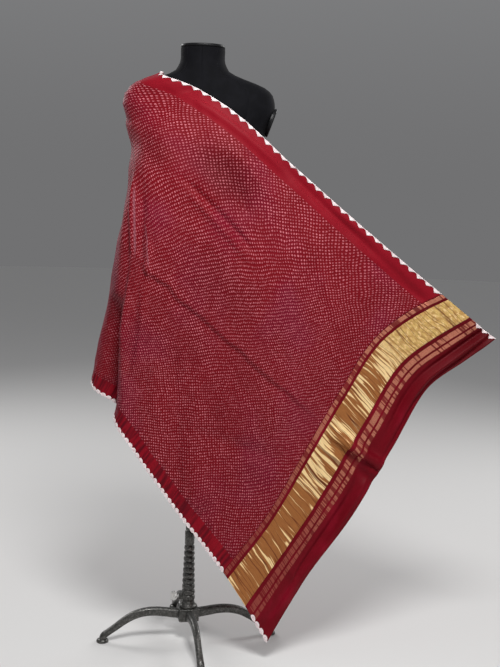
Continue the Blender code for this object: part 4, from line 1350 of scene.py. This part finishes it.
# %% Clamp screw
SHANK_PROFILE = (
    (0.0, 0.0155), (0.0036, 0.0155), (0.0036, 0.0310), (0.0050, 0.0318), (0.0050, 0.0345), (0.0, 0.0345),
)
SHANK_STEPS = 28
WING_HALF_SPAN = 0.013
WING_NEAR = 0.028
WING_LENGTH = 0.020
WING_THICKNESS = 0.0045
WING_BEVEL = 0.0012
WING_OUTLINE = (
    # share of the length from the boss, share of the half span
    (0.00, 0.34), (0.12, 0.62), (0.30, 0.94), (0.48, 1.00), (0.74, 0.97), (0.94, 0.84), (1.00, 0.62),
    (0.93, 0.30), (0.86, 0.00),
)
LEVEL = 1e-6  # edges that rise less than this are level


def rise(edge, axis):
    """How far an edge runs along an axis (0, 1 or 2)."""
    return abs(edge.verts[0].co[axis] - edge.verts[1].co[axis])


def bevel_edges(form, edges, offset, segments):
    bmesh.ops.bevel(
        form, geom=edges, offset=offset, segments=segments, profile=0.5, affect="EDGES", material=-1
    )


form = bmesh.new()
half = [(-WING_NEAR - out * WING_LENGTH, up * WING_HALF_SPAN) for out, up in WING_OUTLINE]
outline = half + [(x, -up) for x, up in half[-2::-1]]
face = form.faces.new([form.verts.new((x, -WING_THICKNESS / 2, SCREW_Z + up)) for x, up in outline])
pulled = bmesh.ops.extrude_face_region(form, geom=[face], use_keep_orig=True)
raised_verts = [item for item in pulled["geom"] if isinstance(item, bmesh.types.BMVert)]
bmesh.ops.translate(form, vec=(0, WING_THICKNESS, 0), verts=raised_verts)
outward(form)
bevel_edges(form, [edge for edge in form.edges if rise(edge, 1) < LEVEL], WING_BEVEL, 3)
shank_mesh = to_mesh(turned(SHANK_PROFILE, SHANK_STEPS, to_the_left), "shank")
form.from_mesh(shank_mesh)
bpy.data.meshes.remove(shank_mesh)
finish_piece(form, "wing_screw", bright_steel, "bright_steel", "clamp_screw", body=SCREW_BODY, sharp_angle=40)

# %% Hub
HUB_WIDTH = 0.054
HUB_HEIGHT = 0.034
HUB_TOP = 0.088
HUB_CORNER = 0.006
HUB_RIM = 0.0018
LEG_TURN = math.radians(12)

form = bmesh.new()
bmesh.ops.create_cube(form, size=1.0)
bmesh.ops.scale(form, vec=(HUB_WIDTH, HUB_WIDTH, HUB_HEIGHT), verts=form.verts)
bevel_edges(form, [edge for edge in form.edges if rise(edge, 2) > HUB_HEIGHT / 2], HUB_CORNER, 4)
bevel_edges(form, [edge for edge in form.edges if rise(edge, 2) < LEVEL], HUB_RIM, 3)
placing = Matrix.Translation((0, 0, HUB_TOP - HUB_HEIGHT / 2)) @ Matrix.Rotation(LEG_TURN, 4, "Z")
bmesh.ops.transform(form, matrix=placing, verts=form.verts)
iron_piece(form, "square_hub", "hub")

# %% Legs and feet
LEGS = 4
LEG_SEGMENTS = 24
LEG_RINGS = 40
LEG_SQUARENESS = 2.8
PAD_REACH = 0.228
PAD_STEPS = 36
LEG_PATH = (
    # r, z, half_height, half_width
    (0.0275, 0.071, 0.0130, 0.0110), (0.050, 0.074, 0.0125, 0.0105), (0.080, 0.078, 0.0120, 0.0100),
    (0.112, 0.078, 0.0115, 0.0095), (0.145, 0.070, 0.0110, 0.0090), (0.172, 0.055, 0.0100, 0.0085),
    (0.194, 0.039, 0.0090, 0.0085), (0.213, 0.026, 0.0085, 0.0090), (0.225, 0.017, 0.0090, 0.0095),
    (PAD_REACH, 0.0093, 0.0095, 0.0100),
)
PAD_PROFILE = (
    # radius, height
    (0.0, 0.0), (0.0145, 0.0), (0.0160, 0.0012), (0.0160, 0.0050), (0.0152, 0.0066), (0.0130, 0.0084),
    (0.0120, 0.0090), (0.0, 0.0090),
)


def squared(wave):
    """A sine or cosine that is drawn out towards a square."""
    return np.sign(wave) * np.abs(wave) ** (2 / LEG_SQUARENESS)


def leg_rings():
    """Rings across the leg, from its own path, in the plane of X and Z."""
    path = np.array(LEG_PATH)
    run = run_along(path[:, :2])
    table = curve_through(run, path, np.linspace(0.0, run[-1], LEG_RINGS))
    tangents = unit(np.gradient(table[:, :2], axis=0))
    tangents[0] = (1.0, 0.0)
    tangents[-1] = (0.0, -1.0)
    turn = np.arange(LEG_SEGMENTS) * 2 * math.pi / LEG_SEGMENTS
    corners = list(zip(squared(np.cos(turn)), squared(np.sin(turn))))
    return [
        [(r - tz * half_height * a, half_width * b, z + tr * half_height * a) for a, b in corners]
        for (r, z, half_height, half_width), (tr, tz) in zip(table, tangents)
    ]


for number in range(1, LEGS + 1):
    turn = Matrix.Rotation(LEG_TURN + (number - 1) * 2 * math.pi / LEGS, 4, "Z")
    iron_piece(raised(leg_rings(), turn), f"iron_leg_{number}", f"leg_{number}")
    at_end = turn @ Matrix.Translation((PAD_REACH, 0, 0))
    iron_piece(turned(PAD_PROFILE, PAD_STEPS, at_end), f"foot_pad_{number}", f"foot_{number}")

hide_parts("front_field", "shoulder_wrap", "rear_field")
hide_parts("zari_band")
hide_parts("end_panel")
